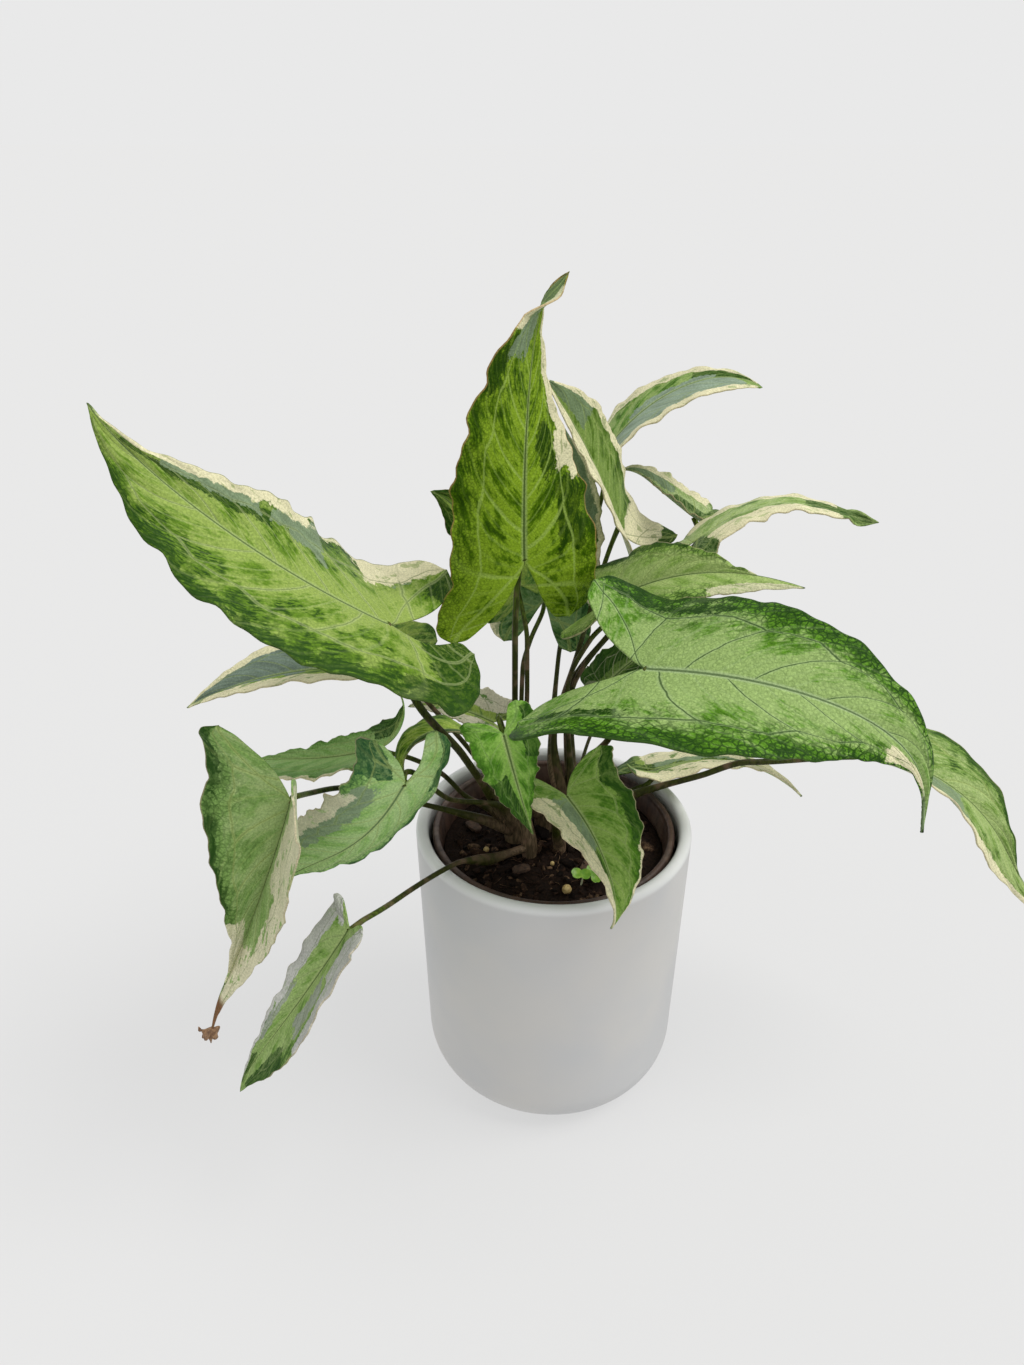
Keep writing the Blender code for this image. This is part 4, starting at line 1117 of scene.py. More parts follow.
def leaf_maps(nodes, name):
    """The noises and distances that a leaf's colours share."""
    maps = SimpleNamespace(flat=leaf_place(nodes, name))
    maps.share, maps.edge = nodes.attribute("share"), nodes.attribute("edge")
    maps.along, maps.across = nodes.attribute("along"), nodes.attribute("across")
    maps.blotch = nodes.noise(maps.flat, BLOTCH_SCALE, 2, 0.55)
    drawn = vein_place(nodes, name)
    maps.streak = nodes.noise(drawn, STREAK_SCALE, 2, 0.6)
    maps.fleck = nodes.noise(drawn, FLECK_SCALE, 2, 0.65)
    maps.grain = nodes.noise(maps.flat, GRAIN_SCALE, 2, 0.6)
    maps.wander = nodes.noise(maps.flat, WANDER_SCALE, 4, 0.7)
    maps.net = nodes.ramp(nodes.cells(maps.flat, NET_SCALE), 0.02, 0.22, 1.0, 0.0)
    shake = nodes.times(nodes.centred(maps.wander), MESH_SHAKE)
    shaken = nodes.node("ShaderNodeVectorMath", {0: maps.flat, 1: shake}, operation="ADD").outputs[0]
    maps.mesh = nodes.ramp(nodes.cells(shaken, MESH_SCALE), 0.03, 0.19, 1.0, 0.0)
    sway = nodes.centred(maps.streak)
    maps.count = nodes.scaled(sway, 0.08, nodes.attribute("veins"))
    maps.off_vein = side_vein_distance(nodes, maps.count)
    loop = nodes.scaled(maps.off_vein, LOOP_BULGE, LOOP_PLACE)
    loop = nodes.scaled(sway, 0.05, loop)
    maps.past_loop = nodes.math("SUBTRACT", maps.edge, loop)
    return maps


def vein_lines(nodes, maps):
    """Pale bands along the veins, and the dark threads in their middles."""
    inside = nodes.ramp(maps.past_loop, 0.0, 0.06, 1.0, 0.22)
    fine = [
        nodes.times(near_line(nodes, side_vein_distance(nodes, maps.count, number), width, soft), strength)
        for number, width, soft, strength in FINE_VEINS
    ]
    band = nodes.most(near_line(nodes, maps.off_vein, 0.008, 0.050), nodes.most(*fine))
    band = nodes.times(band, inside)
    band = nodes.most(band, near_line(nodes, maps.past_loop, 0.004, 0.022))
    lobe = nodes.attribute("lobe_vein")
    band = nodes.most(band, near_line(nodes, lobe, 0.0003, 0.0012))
    core = nodes.times(near_line(nodes, maps.off_vein, 0.005, 0.015), inside)
    core = nodes.most(core, near_line(nodes, maps.past_loop, 0.003, 0.010))
    core = nodes.most(core, near_line(nodes, lobe, 0.0001, 0.0005))
    return band, core


def leaf_green(nodes, maps, look):
    """Pale by the midrib and veins, deeper between them, with dark flecks that gather in groups."""
    off_loop = nodes.times(nodes.math("ABSOLUTE", maps.past_loop), 4.0)
    room = nodes.math("MINIMUM", nodes.times(maps.off_vein, 2.2), off_loop, clamp=True)
    blotch = nodes.centred(maps.blotch)
    margin = nodes.ramp(nodes.scaled(blotch, 0.5, maps.edge), 0.35, 1.0)
    near_midrib = nodes.ramp(nodes.math("ABSOLUTE", maps.across), 0.0, look.pale_width, 1.0, 0.0)
    depth = nodes.scaled(room, 0.45, 0.18)
    depth = nodes.scaled(blotch, 1.5 * look.blotch, depth)
    depth = nodes.scaled(nodes.centred(maps.streak), 1.5 * look.grainy, depth)
    depth = nodes.scaled(nodes.centred(maps.fleck), 1.3 * look.grainy, depth)
    depth = nodes.scaled(margin, look.margin, depth)
    depth = nodes.scaled(near_midrib, -0.30, depth)
    by_stalk = nodes.ramp(nodes.math("ABSOLUTE", maps.along), 0.0, look.stalk_reach, look.stalk_pale, 0.0)
    depth = nodes.math("SUBTRACT", depth, by_stalk)
    pale = nodes.ramp(nodes.scaled(blotch, 1.2, nodes.attribute("pale")), -0.9, 0.9)
    depth = nodes.scaled(pale, -0.45, depth)
    green = nodes.mix(nodes.ramp(depth, 0.0, 0.65, look.contrast, 0.0), look.mid, look.light)
    green = nodes.mix(nodes.ramp(depth, 0.60, 1.15, 0.0, 0.75), green, look.deep)

    patch = ragged(nodes, "dark", maps.wander, 1.3)
    gather = nodes.scaled(blotch, 2.4, nodes.times(room, 0.45))
    gather = nodes.scaled(margin, look.margin, gather)
    gather = nodes.math("SUBTRACT", gather, by_stalk)
    gather = nodes.scaled(pale, -0.9, gather)
    gather = nodes.scaled(near_midrib, -0.35, gather)
    gather = nodes.times(nodes.ramp(gather, 0.15, 0.60), look.mottle)
    gather = nodes.most(gather, patch)
    flecks = nodes.times(nodes.ramp(maps.fleck, 0.46, 0.58, 0.0, 0.9), gather)
    green = nodes.mix(nodes.times(patch, 0.66), green, look.deep)
    outward = nodes.scaled(margin, 0.65, 0.35)
    net = nodes.times(nodes.times(maps.net, look.thread), outward)
    green = nodes.mix(net, green, look.deep)
    mesh = nodes.most(nodes.scaled(margin, 0.85, 0.15), patch)
    mesh = nodes.times(nodes.times(maps.mesh, look.mesh), mesh)
    green = nodes.mix(mesh, green, look.deep)
    return nodes.mix(flecks, green, look.deep)


def leaf_material(name, look, under):
    """The blade's upper face, or its paler and rougher underside."""
    nodes = Nodes(("under " if under else "upper ") + name)
    maps = leaf_maps(nodes, name)
    band, core = vein_lines(nodes, maps)
    colour = leaf_green(nodes, maps, look)
    colour = nodes.mix(nodes.times(band, look.vein_strength), colour, look.vein)

    grey = ragged(nodes, "grey", maps.wander, 1.5)
    darker = tuple(0.72 * c for c in look.grey)
    grey_tone = nodes.mix(nodes.ramp(maps.streak, 0.3, 0.7), look.grey, darker)
    grey_tone = nodes.mix(nodes.times(band, 0.35), grey_tone, look.vein)
    colour = nodes.mix(grey, colour, grey_tone)
    cream = ragged(nodes, "cream", maps.wander, 1.1)
    flecks = nodes.scaled(maps.wander, 0.6, nodes.times(maps.streak, 0.5))
    flecks = nodes.times(nodes.ramp(flecks, 0.60, 0.66), look.flecks)
    duller = tuple(0.88 * c for c in look.cream)
    cream_tone = nodes.mix(nodes.ramp(maps.blotch, 0.3, 0.7), look.cream, duller)
    cream_tone = nodes.mix(nodes.times(core, 0.30), cream_tone, look.mid)
    cream_tone = nodes.mix(flecks, cream_tone, look.mid)
    colour = nodes.mix(cream, colour, cream_tone)
    colour = nodes.mix(nodes.times(core, look.core), colour, look.deep)

    # Midrib: a pale band with a thin dark line in it, slimmer to the tip
    slim = nodes.ramp(maps.share, LOBE_SHARE, 1.0, 1.0, 0.25)
    ahead = nodes.ramp(maps.along, -0.001, 0.001)
    off = nodes.math("DIVIDE", nodes.math("ABSOLUTE", maps.across), slim)
    rib = nodes.times(nodes.ramp(off, 0.0007, 0.0022, 1.0, 0.0), ahead)
    colour = nodes.mix(nodes.times(rib, 0.75), colour, look.rib)
    rib_core = nodes.times(nodes.ramp(off, 0.0003, 0.0009, 1.0, 0.0), ahead)
    colour = nodes.mix(nodes.times(rib_core, look.rib_core), colour, look.deep)
    hem = nodes.ramp(maps.edge, HEM_FROM, HEM_FULL)
    colour = nodes.mix(nodes.times(hem, look.hem_strength), colour, look.hem)
    dry = nodes.ramp(maps.share, look.dry, look.dry + 0.03)
    colour = nodes.mix(dry, colour, DRIED)
    colour = nodes.mix(nodes.ramp(maps.grain, 0.35, 0.65, 0.0, 0.25), colour, look.deep)
    if under:
        colour = nodes.mix(0.35, colour, look.underside)
    nodes.set(Base_Color=colour, Roughness=0.62 if under else 0.48, Specular_IOR_Level=LEAF_SPECULAR)
    height = nodes.scaled(band, -0.6, nodes.times(maps.streak, 0.7))
    height = nodes.scaled(maps.net, -0.35, height)
    nodes.relief(height, 0.25 if under else 0.40, 0.0007)
    return nodes.material


def dried_curl():
    """The withered end of the hanging leaf: two small rolled strips that cling to its tip."""
    leaf = LEAVES["left_hanging"]
    tip = blade_points(leaf, 1, np.array([1.0]), np.array([0.0]), 0.0, 0.0)[0][0]
    turn = np.linspace(0, 1, CURL_RINGS)
    heap = Heap()
    for lean, length in CURL_STRIPS:
        bend = radians(lean) + 2.6 * turn
        steps = np.stack([np.cos(bend), 0.35 * np.sin(3 * turn), -np.sin(bend)], axis=-1)
        middle = tip + running_sum(steps, length / CURL_RINGS)[:-1]
        width = CURL_WIDTH * (0.45 + np.sin(pi * (0.12 + 0.86 * turn)))
        side = np.stack([0.3 * np.sin(5 * turn), np.cos(2 * turn), 0.5 * np.sin(4 * turn)], axis=-1)
        across = np.linspace(-1, 1, CURL_ROWS)[None, :, None]
        sheet = middle[:, None] + across * side[:, None] * width[:, None, None]
        sheet[..., 2] += 0.0012 * (1 - across[..., 0] ** 2)
        grid = np.arange(CURL_RINGS * CURL_ROWS).reshape(CURL_RINGS, CURL_ROWS)
        heap.add(sheet.reshape(-1, 3), quads(grid), 0.0)
    material = simple_material("withered leaf", WITHERED, 500, 0.7, 0.6)
    curl = heap.object("withered_tip", material)
    thick = curl.modifiers.new("thickness", "SOLIDIFY")
    thick.thickness = 0.0005
    return curl


# Stems
def rounded_route(points, count):
    """Evenly spaced points of a smooth curve through the given ones."""
    points = np.array(points)
    steps = np.linalg.norm(np.diff(points, axis=0), axis=1)
    far = np.concatenate([[0], np.cumsum(steps)])
    places = np.linspace(0, far[-1], count)
    return np.stack([smooth(places, far, points[:, k]) for k in range(3)], axis=-1)


def stem_route(name, shoot, via):
    """From inside the shoot to the blade's sinus."""
    leaf = LEAVES[name]
    first = np.array(via[0])
    stub = np.array([shoot.x, shoot.y, STUB_TOP])
    lean = (first - stub) / np.linalg.norm(first - stub)
    start = stub + STUB_SPREAD * shoot.radius * lean * (1, 1, 0) - (0, 0, STUB_DEPTH)
    frame = leaf_frame(leaf)
    base = np.array(leaf.base)
    behind = base - (frame[:, 0] + frame[:, 2]) * STEM_NECKS.get(name, STEM_NECK)
    end = base - frame[:, 2] * STEM_UNDER + frame[:, 0] * STEM_AHEAD
    return rounded_route([start, *via, behind, end], STEM_RINGS)


def tube_arrays(points, radii, sides):
    """Rings round a route, kept from turning about it. Returns points, faces and the share along."""
    points = np.asarray(points, float)
    ways = np.gradient(points, axis=0)
    ways /= np.linalg.norm(ways, axis=1)[:, None]
    across = np.cross(ways[0], (0.31, 0.17, 0.93) if abs(ways[0][2]) < 0.9 else (1, 0, 0))
    rings = []
    for way, point, radius in zip(ways, points, radii):
        across = across - way * (across @ way)
        across /= np.linalg.norm(across)
        other = np.cross(way, across)
        turn = ring_angles(sides)[:, None]
        rings.append(point + radius * (np.cos(turn) * across + np.sin(turn) * other))
    count = len(points)
    grid = np.arange(count * sides).reshape(count, sides)
    faces = [*quads(grid, ring=True)[:, [0, 3, 2, 1]], grid[0][::-1], grid[-1]]
    return np.concatenate(rings), faces, np.repeat(np.linspace(0, 1, count), sides)


class Heap:
    """Gathers many small shapes, with one painted value each point, into one mesh."""

    def __init__(self):
        self.verts, self.faces, self.values, self.count = [], [], [], 0

    def add(self, verts, faces, values):
        self.verts.append(np.asarray(verts, float))
        self.faces.extend(tuple(int(i) + self.count for i in face) for face in faces)
        self.values.append(np.broadcast_to(values, (len(verts),)))
        self.count += len(verts)

    def object(self, name, material, value_name="along"):
        mesh = mesh_of(name, np.concatenate(self.verts), self.faces)
        layer = mesh.attributes.new(value_name, "FLOAT", "POINT")
        layer.data.foreach_set("value", np.concatenate(self.values).astype(np.float32))
        return add_object(name, mesh, (material,))


def stem_radii(name, count):
    """Wide where it sheathes the shoot, then slim and even, and slightly thicker at the blade."""
    foot, top = STEM_WIDTHS.get(name, STEM_WIDTH)
    x = np.linspace(0, 1, count)
    sheath = (1 - ease(x, 0.05, 0.42)) ** 1.2
    swell, start, widest, end = STEM_SHEATHS.get(name, NO_SHEATH)
    leafy = swell * ease(x, start, widest) * (1 - ease(x, widest, end))
    return top + (foot - top) * sheath + leafy + 0.0002 * ease(x, 0.93, 1)


def stem_material():
    nodes = Nodes("leaf stem")
    place, along = nodes.place(), nodes.attribute("along")
    streak = nodes.noise(nodes.stretched(place, (1, 1, 0.18)), 900, 3, 0.6)
    blotch = nodes.noise(place, 120, 2, 0.5)
    reach = nodes.scaled(nodes.centred(blotch), 0.25, along)
    # The foot colour is partly painted light: lighter than the sheaths' own brown, to offset the shade
    # under the leaves
    colour = nodes.mix(nodes.ramp(reach, 0.06, 0.26), STEM_FOOT_COLOUR, STEM_COLOUR)
    colour = nodes.mix(nodes.ramp(along, 0.6, 1.0), colour, STEM_TOP_COLOUR)
    colour = nodes.mix(nodes.ramp(streak, 0.35, 0.65, 0.0, 0.70), colour, STEM_DARK)
    colour = nodes.mix(nodes.ramp(blotch, 0.5, 0.7, 0.0, 0.4), colour, STEM_BLUSH)
    nodes.set(Base_Color=colour, Roughness=0.45, Specular_IOR_Level=STEM_SPECULAR)
    nodes.relief(streak, 0.4, 0.0006)
    return nodes.material


def stems_object(shoot_name, material):
    heap = Heap()
    shoot = SHOOTS[shoot_name]
    for name, via in STEMS[shoot_name].items():
        route = stem_route(name, shoot, via)
        heap.add(*tube_arrays(route, stem_radii(name, len(route)), STEM_SIDES))
    heights, shares = zip(*STUB_TAPER)
    height = np.linspace(heights[0], heights[-1], STUB_RINGS)
    radii = shoot.radius * np.interp(height, heights, shares)
    middle = np.stack([0 * height + shoot.x, 0 * height + shoot.y, height], axis=-1)
    verts, faces, _ = tube_arrays(middle, radii, STUB_SIDES)
    heap.add(verts, faces, 0.0)
    return heap.object("stalks_" + shoot_name, material)


# Pots
def turned_object(name, profile, sides, material):
    """A surface turned about Z from an outline that starts and ends on the axis."""
    profile = np.array(profile)
    angle = ring_angles(sides)
    rings = [
        np.stack([r * np.cos(angle), r * np.sin(angle), z + 0 * angle], axis=-1) for r, z in profile[1:-1]
    ]
    first = len(rings) * sides
    grid = np.arange(first).reshape(-1, sides)
    faces = [*quads(grid, ring=True), *fan(first, grid[0]), *fan(first + 1, grid[-1], flip=True)]
    ends = [(0, 0, profile[0][1]), (0, 0, profile[-1][1])]
    mesh = mesh_of(name, np.concatenate([*rings, np.array(ends)]), faces)
    shape = bmesh.new()
    shape.from_mesh(mesh)
    bmesh.ops.recalc_face_normals(shape, faces=shape.faces)
    shape.to_mesh(mesh)
    shape.free()
    return add_object(name, mesh, (material,))


def arc(centre_r, centre_z, radius, start, end, count):
    return [
        (centre_r + radius * cos(radians(a)), centre_z + radius * sin(radians(a)))
        for a in np.linspace(start, end, count)
    ]


def pot_profile():
    lip = POT_WALL / 2
    inner_corner = POT_CORNER - POT_WALL
    inner_foot = POT_FOOT_RADIUS - POT_WALL
    heights = np.linspace(0.030, POT_HEIGHT - lip, 14)[1:-1]
    slope = (POT_RIM_RADIUS - POT_FOOT_RADIUS) / (POT_HEIGHT - lip - POT_CORNER)
    outer = [(POT_FOOT_RADIUS + slope * (z - POT_CORNER), z) for z in heights]
    return [
        (0, POT_FLOOR),
        *arc(inner_foot - inner_corner, POT_FLOOR + inner_corner, inner_corner, -90, 0, 10),
        *arc(POT_RIM_RADIUS - lip, POT_HEIGHT - lip, lip, 180, 0, 17),
        *reversed(outer),
        *arc(POT_FOOT_RADIUS - POT_CORNER, POT_CORNER, POT_CORNER, 0, -90, 18),
        (0, 0),
    ]


def glaze_material():
    nodes = Nodes("white glaze")
    place = nodes.place()
    cloud = nodes.noise(place, 14, 3, 0.55)
    speck = nodes.cells(place, 260, "F1")
    # Painted shade: the wall's grey stands in for shade on the white glaze; the cloud mixes in a second
    # tone at random
    colour = nodes.mix(nodes.ramp(cloud, 0.3, 0.7), GLAZE_SHADED_COLOUR, GLAZE_SHADE)
    colour = nodes.mix(nodes.ramp(speck, 0.02, 0.05, 0.10, 0.0), colour, GLAZE_SPECK)
    height = nodes.node("ShaderNodeSeparateXYZ", {0: place}).outputs["Z"]
    # Painted highlight: the top of the lip is painted lighter, standing in for the light that falls on it
    colour = nodes.mix(nodes.ramp(height, POT_HEIGHT - 0.0045, POT_HEIGHT - 0.001), colour, GLAZE_LIP_HIGHLIGHT)
    nodes.set(Base_Color=colour, Roughness=nodes.ramp(cloud, 0.3, 0.7, 0.36, 0.46), IOR=1.48)
    nodes.relief(nodes.noise(place, 60, 3, 0.6), 0.10, 0.0008)
    return nodes.material


def liner_radius(z):
    """The nursery pot's outer radius at a height above the cache pot's foot."""
    foot = POT_FLOOR + GAP
    share = (z - foot) / (LINER_TOP - foot)
    return LINER_FOOT_RADIUS + (LINER_MOUTH_RADIUS - LINER_FOOT_RADIUS) * share


def liner_profile():
    foot = POT_FLOOR + GAP
    roll = LINER_TOP - LINER_RIM_DEPTH
    mouth = liner_radius(LINER_TOP) - LINER_WALL
    width = (LINER_RIM_RADIUS - mouth) / 2
    bead = arc(LINER_RIM_RADIUS - width, LINER_TOP - width, width, 170, 10, 11)
    step = [(mouth - 0.0003, LINER_TOP - 0.0030), (mouth + 0.0001, LINER_TOP - 0.0026)]
    return [
        (0, foot + LINER_WALL),
        (liner_radius(foot) - LINER_WALL, foot + LINER_WALL),
        (liner_radius(SOIL_TOP) - LINER_WALL, SOIL_TOP),
        *step,
        *bead,
        (LINER_RIM_RADIUS, roll + 0.0006),
        (LINER_RIM_RADIUS - 0.0005, roll),
        (liner_radius(roll), roll),
        (liner_radius(foot), foot),
        (0, foot),
    ]


def liner_material():
    nodes = Nodes("brown plastic")
    place = nodes.place()
    scuff = nodes.noise(nodes.stretched(place, (1, 1, 0.3)), 260, 4, 0.65)
    dust = nodes.noise(place, 70, 4, 0.6)
    colour = nodes.mix(nodes.ramp(scuff, 0.35, 0.7), LINER_COLOUR, LINER_DARK)
    colour = nodes.mix(nodes.ramp(dust, 0.52, 0.72, 0.0, 0.35), colour, LINER_DUST)
    nodes.set(Base_Color=colour, Roughness=nodes.ramp(scuff, 0.3, 0.7, 0.38, 0.6))
    nodes.relief(scuff, 0.2, 0.0006)
    return nodes.material


# Soil
def soil_height(r, angle):
    """The soil's surface: a low mound, uneven as potting mix settles."""
    rough = np.sin(3 * angle + 1) * 0.5 + np.sin(5 * angle + 200 * r) * 0.5
    edge = np.minimum(1, (liner_radius(SOIL_TOP) - r) / SOIL_EDGE)
    return SOIL_TOP + SOIL_MOUND * (edge - 0.5) + SOIL_ROUGHNESS * rough * (r > GAP)


def crumb(x, y):
    """Fine lumps of the potting mix."""
    place = Vector((x * 160, y * 160, 0.7))
    lumps = noise.fractal(place, 0.9, 2.1, 5)
    pits = noise.noise(Vector((x * 420, y * 420, 3.1)))
    return 0.0011 * lumps + 0.0005 * pits


def soil_bed(material):
    """A closed slab whose top is broken into crumbs."""
    reach = liner_radius(SOIL_TOP) - LINER_WALL - 2 * GAP
    heap = Heap()
    radius = np.linspace(0, reach, SOIL_RINGS + 1)[1:]
    angle = ring_angles(SOIL_SPOKES)
    verts = [(0, 0, soil_height(0.0, 0.0))]
    for r in radius:
        for a in angle:
            x, y = r * cos(a), r * sin(a)
            crumbled = min(1.0, (reach - r) / SOIL_SMOOTH_EDGE)
            verts.append((x, y, soil_height(r, a) + crumbled * crumb(x, y)))
    floor = SOIL_TOP - SOIL_DEPTH
    verts += [(reach * 0.99 * cos(a), reach * 0.99 * sin(a), floor) for a in angle]
    verts.append((0, 0, floor))
    last = len(verts) - 1
    grid = np.arange(1, last).reshape(-1, SOIL_SPOKES)
    faces = [*fan(0, grid[0]), *quads(grid, ring=True), *fan(last, grid[-1], flip=True)]
    heap.add(verts, faces, BED_SHADE)
    random = np.random.default_rng(SOIL_SEED)
    scatter_chips(heap, random, reach)
    scatter_fibres(heap, random, reach)
    return heap.object("soil_bed", material, "shade")


def random_place(random, reach):
    r = reach * np.sqrt(random.uniform(0, 0.93))
    a = random.uniform(0, 2 * pi)
    return r * cos(a), r * sin(a)


def bed_height(x, y):
    return float(soil_height(np.hypot(x, y), np.arctan2(y, x)))


def ground(x, y):
    return bed_height(x, y) + crumb(x, y)


def chip_shape(random, size):
    """A torn flake of bark: a box with its corners pulled about."""
    shape = bmesh.new()
    bmesh.ops.create_cube(shape, size=2)
    bmesh.ops.subdivide_edges(shape, edges=shape.edges, cuts=1, use_grid_fill=True)
    points = np.array([vert.co[:] for vert in shape.verts])
    points = points / np.maximum(1, np.linalg.norm(points, axis=1) ** 0.5)[:, None]
    points += random.normal(0, 0.16, points.shape)
    faces = [tuple(vert.index for vert in face.verts) for face in shape.faces]
    shape.free()
    return points * size, faces


def scatter_chips(heap, random, reach):
    for _ in range(CHIPS):
        x, y = random_place(random, reach - 0.003)
        length = random.uniform(*CHIP_LENGTHS) * (1 + (random.random() < 0.10) * 1.2)
        size = np.array([length, length * random.uniform(0.35, 0.8), length * random.uniform(0.2, 0.45)])
        points, faces = chip_shape(random, size)
        turn = rotation(2, random.uniform(0, 2 * pi)) @ rotation(0, random.normal(0, 0.35))
        turn = turn @ rotation(1, random.normal(0, 0.35))
        points = points @ turn.T + (x, y, ground(x, y) + size[2] * 0.35)
        heap.add(points, faces, random.uniform(0.1, 1.0) ** 1.4)


def scatter_fibres(heap, random, reach):
    """Thin root and coir fibres that lie on the mix."""
    for _ in range(FIBRES):
        x, y = random_place(random, reach - 0.008)
        heading = random.uniform(0, 2 * pi)
        bend = random.normal(0, 1.4)
        length = random.uniform(*FIBRE_LENGTHS)
        t = np.linspace(0, 1, FIBRE_RINGS)
        way = heading + bend * t
        px = x + np.cumsum(np.cos(way)) * length / FIBRE_RINGS
        py = y + np.cumsum(np.sin(way)) * length / FIBRE_RINGS
        lift = 0.0004 + 0.0008 * random.random() * np.sin(pi * t)
        pz = [ground(a, b) + c for a, b, c in zip(px, py, lift)]
        route = np.stack([px, py, pz], axis=-1)
        radius = random.uniform(*FIBRE_RADII)
        verts, faces, _ = tube_arrays(route, radius * (1 - 0.5 * t), 5)
        heap.add(verts, faces, random.uniform(0.5, 1.0))


def soil_material():
    nodes = Nodes("potting mix")
    place, shade = nodes.place(), nodes.attribute("shade")
    crumbs = nodes.noise(place, 700, 4, 0.7)
    patch = nodes.noise(place, 160, 3, 0.6)
    tone = nodes.scaled(nodes.centred(crumbs), 1.2, shade)
    colour = nodes.mix(nodes.ramp(tone, 0.1, 0.8), SOIL_DARK, SOIL_BROWN)
    colour = nodes.mix(nodes.ramp(tone, 0.75, 1.2, 0.0, 0.8), colour, SOIL_LIGHT)
    colour = nodes.mix(nodes.ramp(patch, 0.55, 0.75, 0.0, 0.5), colour, SOIL_DARK)
    nodes.set(Base_Color=colour, Roughness=0.9, Specular_IOR_Level=SOIL_SPECULAR)
    nodes.relief(crumbs, 0.8, 0.001)
    return nodes.material


# Loose bits
def fine_ball(name, node, material, hole=False):
    """A slow-release feed ball, slightly lumpy."""
    low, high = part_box(node)
    centre = (np.array(low) + np.array(high)) / 2
    radius = (high[0] - low[0]) / 2
    shape = bmesh.new()
    bmesh.ops.create_icosphere(shape, subdivisions=3, radius=1)
    for vert in shape.verts:
        lump = 1 + 0.05 * noise.noise(vert.co * 2.3 + Vector(centre) * 900)
        dent = 0.30 * max(0.0, 1 - (vert.co - Vector((0.1, -0.25, 0.96))).length / 0.45) if hole else 0
        vert.co = Vector(centre) + vert.co * radius * (lump - dent)
    return add_bmesh(name, shape, material)


def simple_material(name, tones, scale, roughness, strength=0.2):
    nodes = Nodes(name)
    place = nodes.place()
    patch = nodes.noise(place, scale, 4, 0.65)
    nodes.set(Base_Color=nodes.mix(nodes.ramp(patch, 0.35, 0.65), *tones), Roughness=roughness)
    nodes.relief(patch, strength, 0.0006)
    return nodes.material


def flake(name, node, material, seed):
    """A flake of bark with split layers and torn ends."""
    low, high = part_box(node)
    low, high = np.array(low), np.array(high)
    centre, reach = (low + high) / 2, (high - low) / 2
    length, width, turn = BARK[seed]
    shape = bmesh.new()
    bmesh.ops.create_cube(shape, size=2)
    bmesh.ops.subdivide_edges(shape, edges=shape.edges, cuts=7, use_grid_fill=True)
    about = rotation(2, radians(turn))
    for vert in shape.verts:
        p = np.array(vert.co[:])
        rough = noise.noise(Vector((p[0] * 3, p[1] * 6, p[2] * 2 + seed)))
        thin = 1 - 0.35 * abs(p[0]) ** 3
        local = np.array(
            [
                p[0] * length / 2 * (1 - 0.10 * abs(p[1]) + 0.08 * rough),
                p[1] * width / 2 * thin * (1 + 0.18 * rough),
                p[2] * reach[2] * (0.72 + 0.25 * rough) * thin,
            ]
        )
        vert.co = Vector(centre + about @ local)
    return add_bmesh(name, shape, material)


def leaflet_way(heading):
    return np.array([cos(heading), sin(heading), LEAFLET_SLOPE + SEEDLING_TILT * sin(heading)])


def leaflet(heap, centre, heading, radius):
    """A round cupped leaflet with a notch at its tip."""
    angle = ring_angles(LEAFLET_SPOKES)
    way = leaflet_way(heading)
    side = np.array([-sin(heading), cos(heading), SEEDLING_TILT * cos(heading)])
    up = np.cross(way, side)
    for face_side in (1, -1):
        verts = [centre + up * LEAFLET_HALF * face_side]
        for r in np.arange(1, LEAFLET_RINGS + 1) / LEAFLET_RINGS:
            for a in angle:
                notch = 1 - 0.14 * np.exp(-((a if a < pi else a - 2 * pi) / 0.25) ** 2)
                rr = r * radius * notch
                cup = 0.22 * radius * r * r + face_side * LEAFLET_HALF * (1 - r**6)
                verts.append(centre + way * rr * cos(a) + side * rr * sin(a) * 0.92 + up * cup)
        grid = np.arange(1, len(verts)).reshape(-1, LEAFLET_SPOKES)
        faces = [*fan(0, grid[0]), *quads(grid, ring=True)]
        if face_side < 0:
            faces = [face[::-1] for face in faces]
        heap.add(verts, faces, 1.0)


def seedling(name, spec, material):
    x, y, height, headings = spec
    heap = Heap()
    base = np.array([x, y, ground(x, y) - 0.0006])
    top = np.array([x, y, bed_height(x, y) + SEAT + SEEDLING_RISE * height])
    bow = np.array([0.0006, 0.0004, 0])
    t = np.linspace(0, 1, SEEDLING_RINGS)[:, None]
    route = base + (top - base) * t + bow * np.sin(pi * t)
    heap.add(*tube_arrays(route, np.full(SEEDLING_RINGS, SEEDLING_RADIUS), 8))
    for heading in headings:
        h = radians(heading)
        out = leaflet_way(h) * LEAFLET_RADIUS * 0.9
        leaflet(heap, top + out - (0, 0, 0.0004), h, LEAFLET_RADIUS * 1.04)
    return heap.object(name, material)


def seedling_material():
    nodes = Nodes("seedling")
    place, along = nodes.place(), nodes.attribute("along")
    patch = nodes.noise(place, 500, 3, 0.6)
    green = nodes.mix(nodes.ramp(patch, 0.35, 0.65), SEEDLING_LIGHT, SEEDLING_GREEN)
    nodes.set(Base_Color=nodes.mix(nodes.ramp(along, 0.90, 0.99), SEEDLING_STEM, green), Roughness=0.4)
    return nodes.material


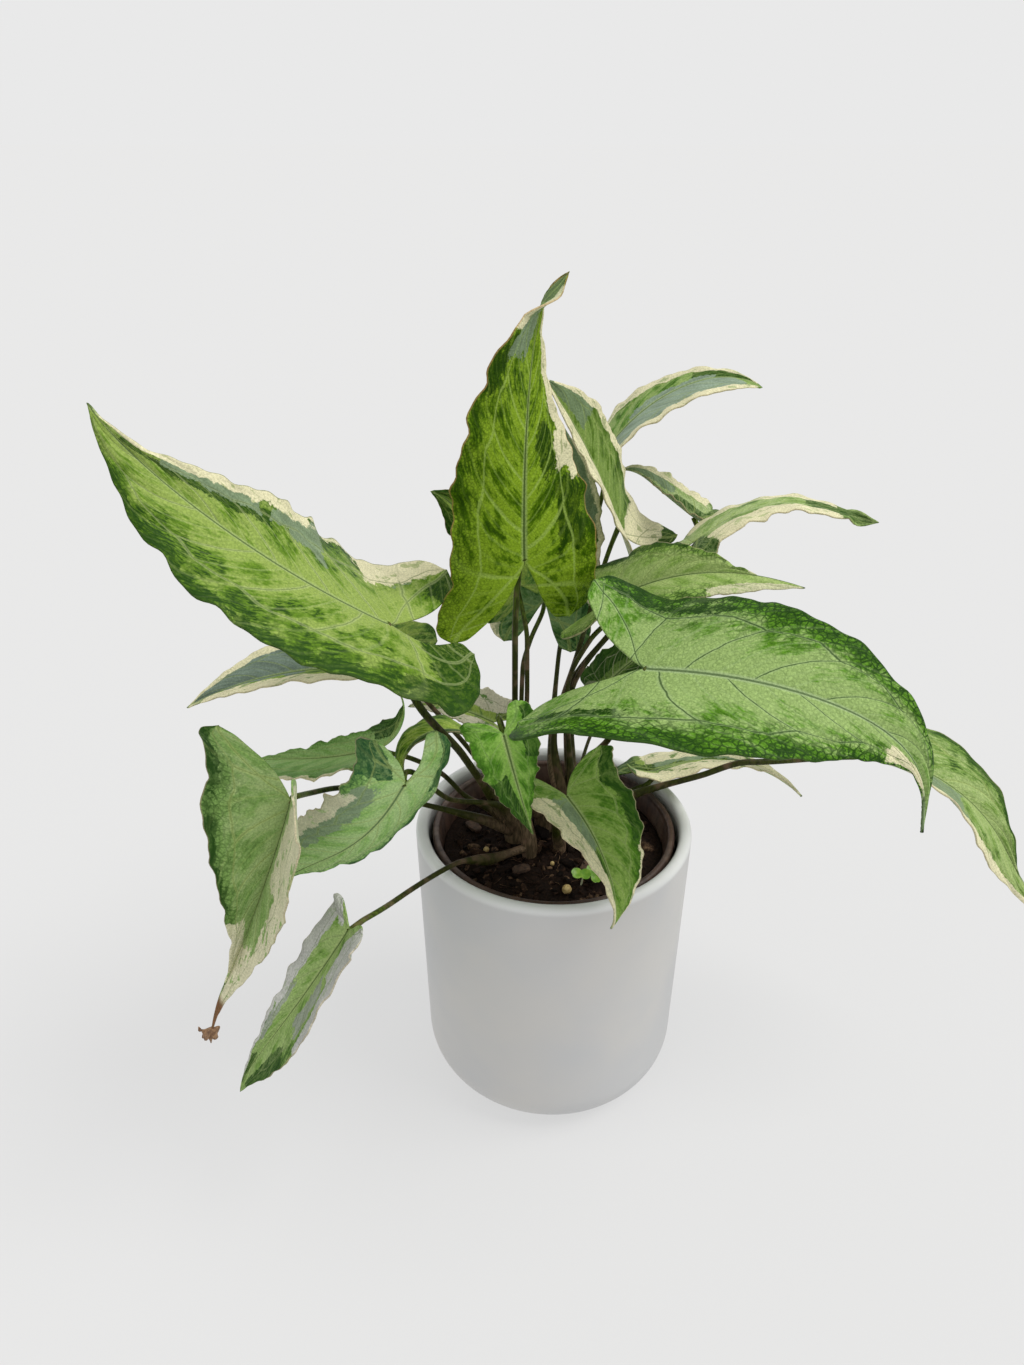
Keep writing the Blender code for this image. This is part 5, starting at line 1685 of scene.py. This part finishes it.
# Stage
def studio():
    """A pale floor with a faint glow under an even sky of its own brightness, and one wide soft light."""
    reach = 30.0
    verts = [(x, y, 0) for x in (-reach, reach) for y in (-reach, reach)]
    floor = add_object("floor", mesh_of("floor", verts, [(0, 2, 3, 1)]))
    nodes = Nodes("studio floor")
    nodes.set(Base_Color=FLOOR_COLOUR, Roughness=0.9, Specular_IOR_Level=0.0)
    nodes.set(Emission_Color=SKY_COLOUR, Emission_Strength=FLOOR_GLOW)
    nodes.material.cycles.emission_sampling = "NONE"
    floor.data.materials.append(nodes.material)
    world = bpy.data.worlds.new("studio")
    bpy.context.scene.world = world
    world.use_nodes = True
    sky = world.node_tree.nodes["Background"]
    sky.inputs["Color"].default_value = (*SKY_COLOUR, 1)
    sky.inputs["Strength"].default_value = SKY_STRENGTH
    lamp = bpy.data.lights.new("key", "SUN")
    lamp.energy = KEY_STRENGTH
    lamp.angle = radians(KEY_WIDTH)
    lamp.color = KEY_COLOUR
    obj = bpy.data.objects.new("key", lamp)
    obj.rotation_euler = (-Vector(KEY_FROM)).to_track_quat("-Z", "Y").to_euler()
    bpy.context.scene.collection.objects.link(obj)


def camera():
    lens = bpy.data.cameras.new("camera")
    lens.sensor_width = CAMERA_SENSOR
    lens.sensor_fit = "AUTO"
    lens.lens = CAMERA_LENS
    lens.clip_start = 0.01
    lens.clip_end = 50
    obj = bpy.data.objects.new("camera", lens)
    obj.location = CAMERA_PLACE
    obj.rotation_euler = (radians(90 - CAMERA_TILT), 0, 0)
    bpy.context.scene.collection.objects.link(obj)
    bpy.context.scene.camera = obj


def keep(piece, slot, *nodes):
    """The piece rides with the plant and stands for the nodes, which it hides. The slot is not used."""
    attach(piece, BODY)
    if nodes:
        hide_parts(*nodes)


def build():
    camera()
    studio()
    pot = turned_object("pot_glazed", pot_profile(), POT_SIDES, glaze_material())
    keep(pot, "ceramic_white", "cache_pot")
    liner = turned_object("nursery_liner", liner_profile(), POT_SIDES, liner_material())
    keep(liner, "brown_plastic", "nursery_pot")
    keep(soil_bed(soil_material()), "soil_mix", "soil")
    stalk = stem_material()
    for name in SHOOTS:
        keep(stems_object(name, stalk), "stem_green", "stems_" + name)
    for number, (name, leaf) in enumerate(LEAVES.items()):
        blade = blade_object(name, leaf, LOOKS.get(name, Look()), LEAF_PHASE * number)
        keep(blade, "leaf_variegated", "leaf_" + name)
    keep(dried_curl(), "leaf_variegated")
    ball = simple_material("feed ball", BALL_CREAM, 900, 0.5)
    for number in (1, 2, 3):
        piece = fine_ball(f"ball_{number}", f"pellet_{number}", ball, hole=number == 3)
        keep(piece, "pellet_cream", f"pellet_{number}")
    bark = simple_material("bark", BARK_BROWN, 420, 0.85, 0.6)
    for number in (1, 2, 3):
        keep(flake(f"flake_{number}", f"bark_{number}", bark, number - 1), "bark_brown", f"bark_{number}")
    sprout = seedling_material()
    for number, spec in enumerate(SEEDLINGS, 1):
        keep(seedling(f"sprout_{number}", spec, sprout), "seedling_green", f"seedling_{number}")
    bpy.context.scene.view_settings.view_transform = "Standard"


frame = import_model()
build()
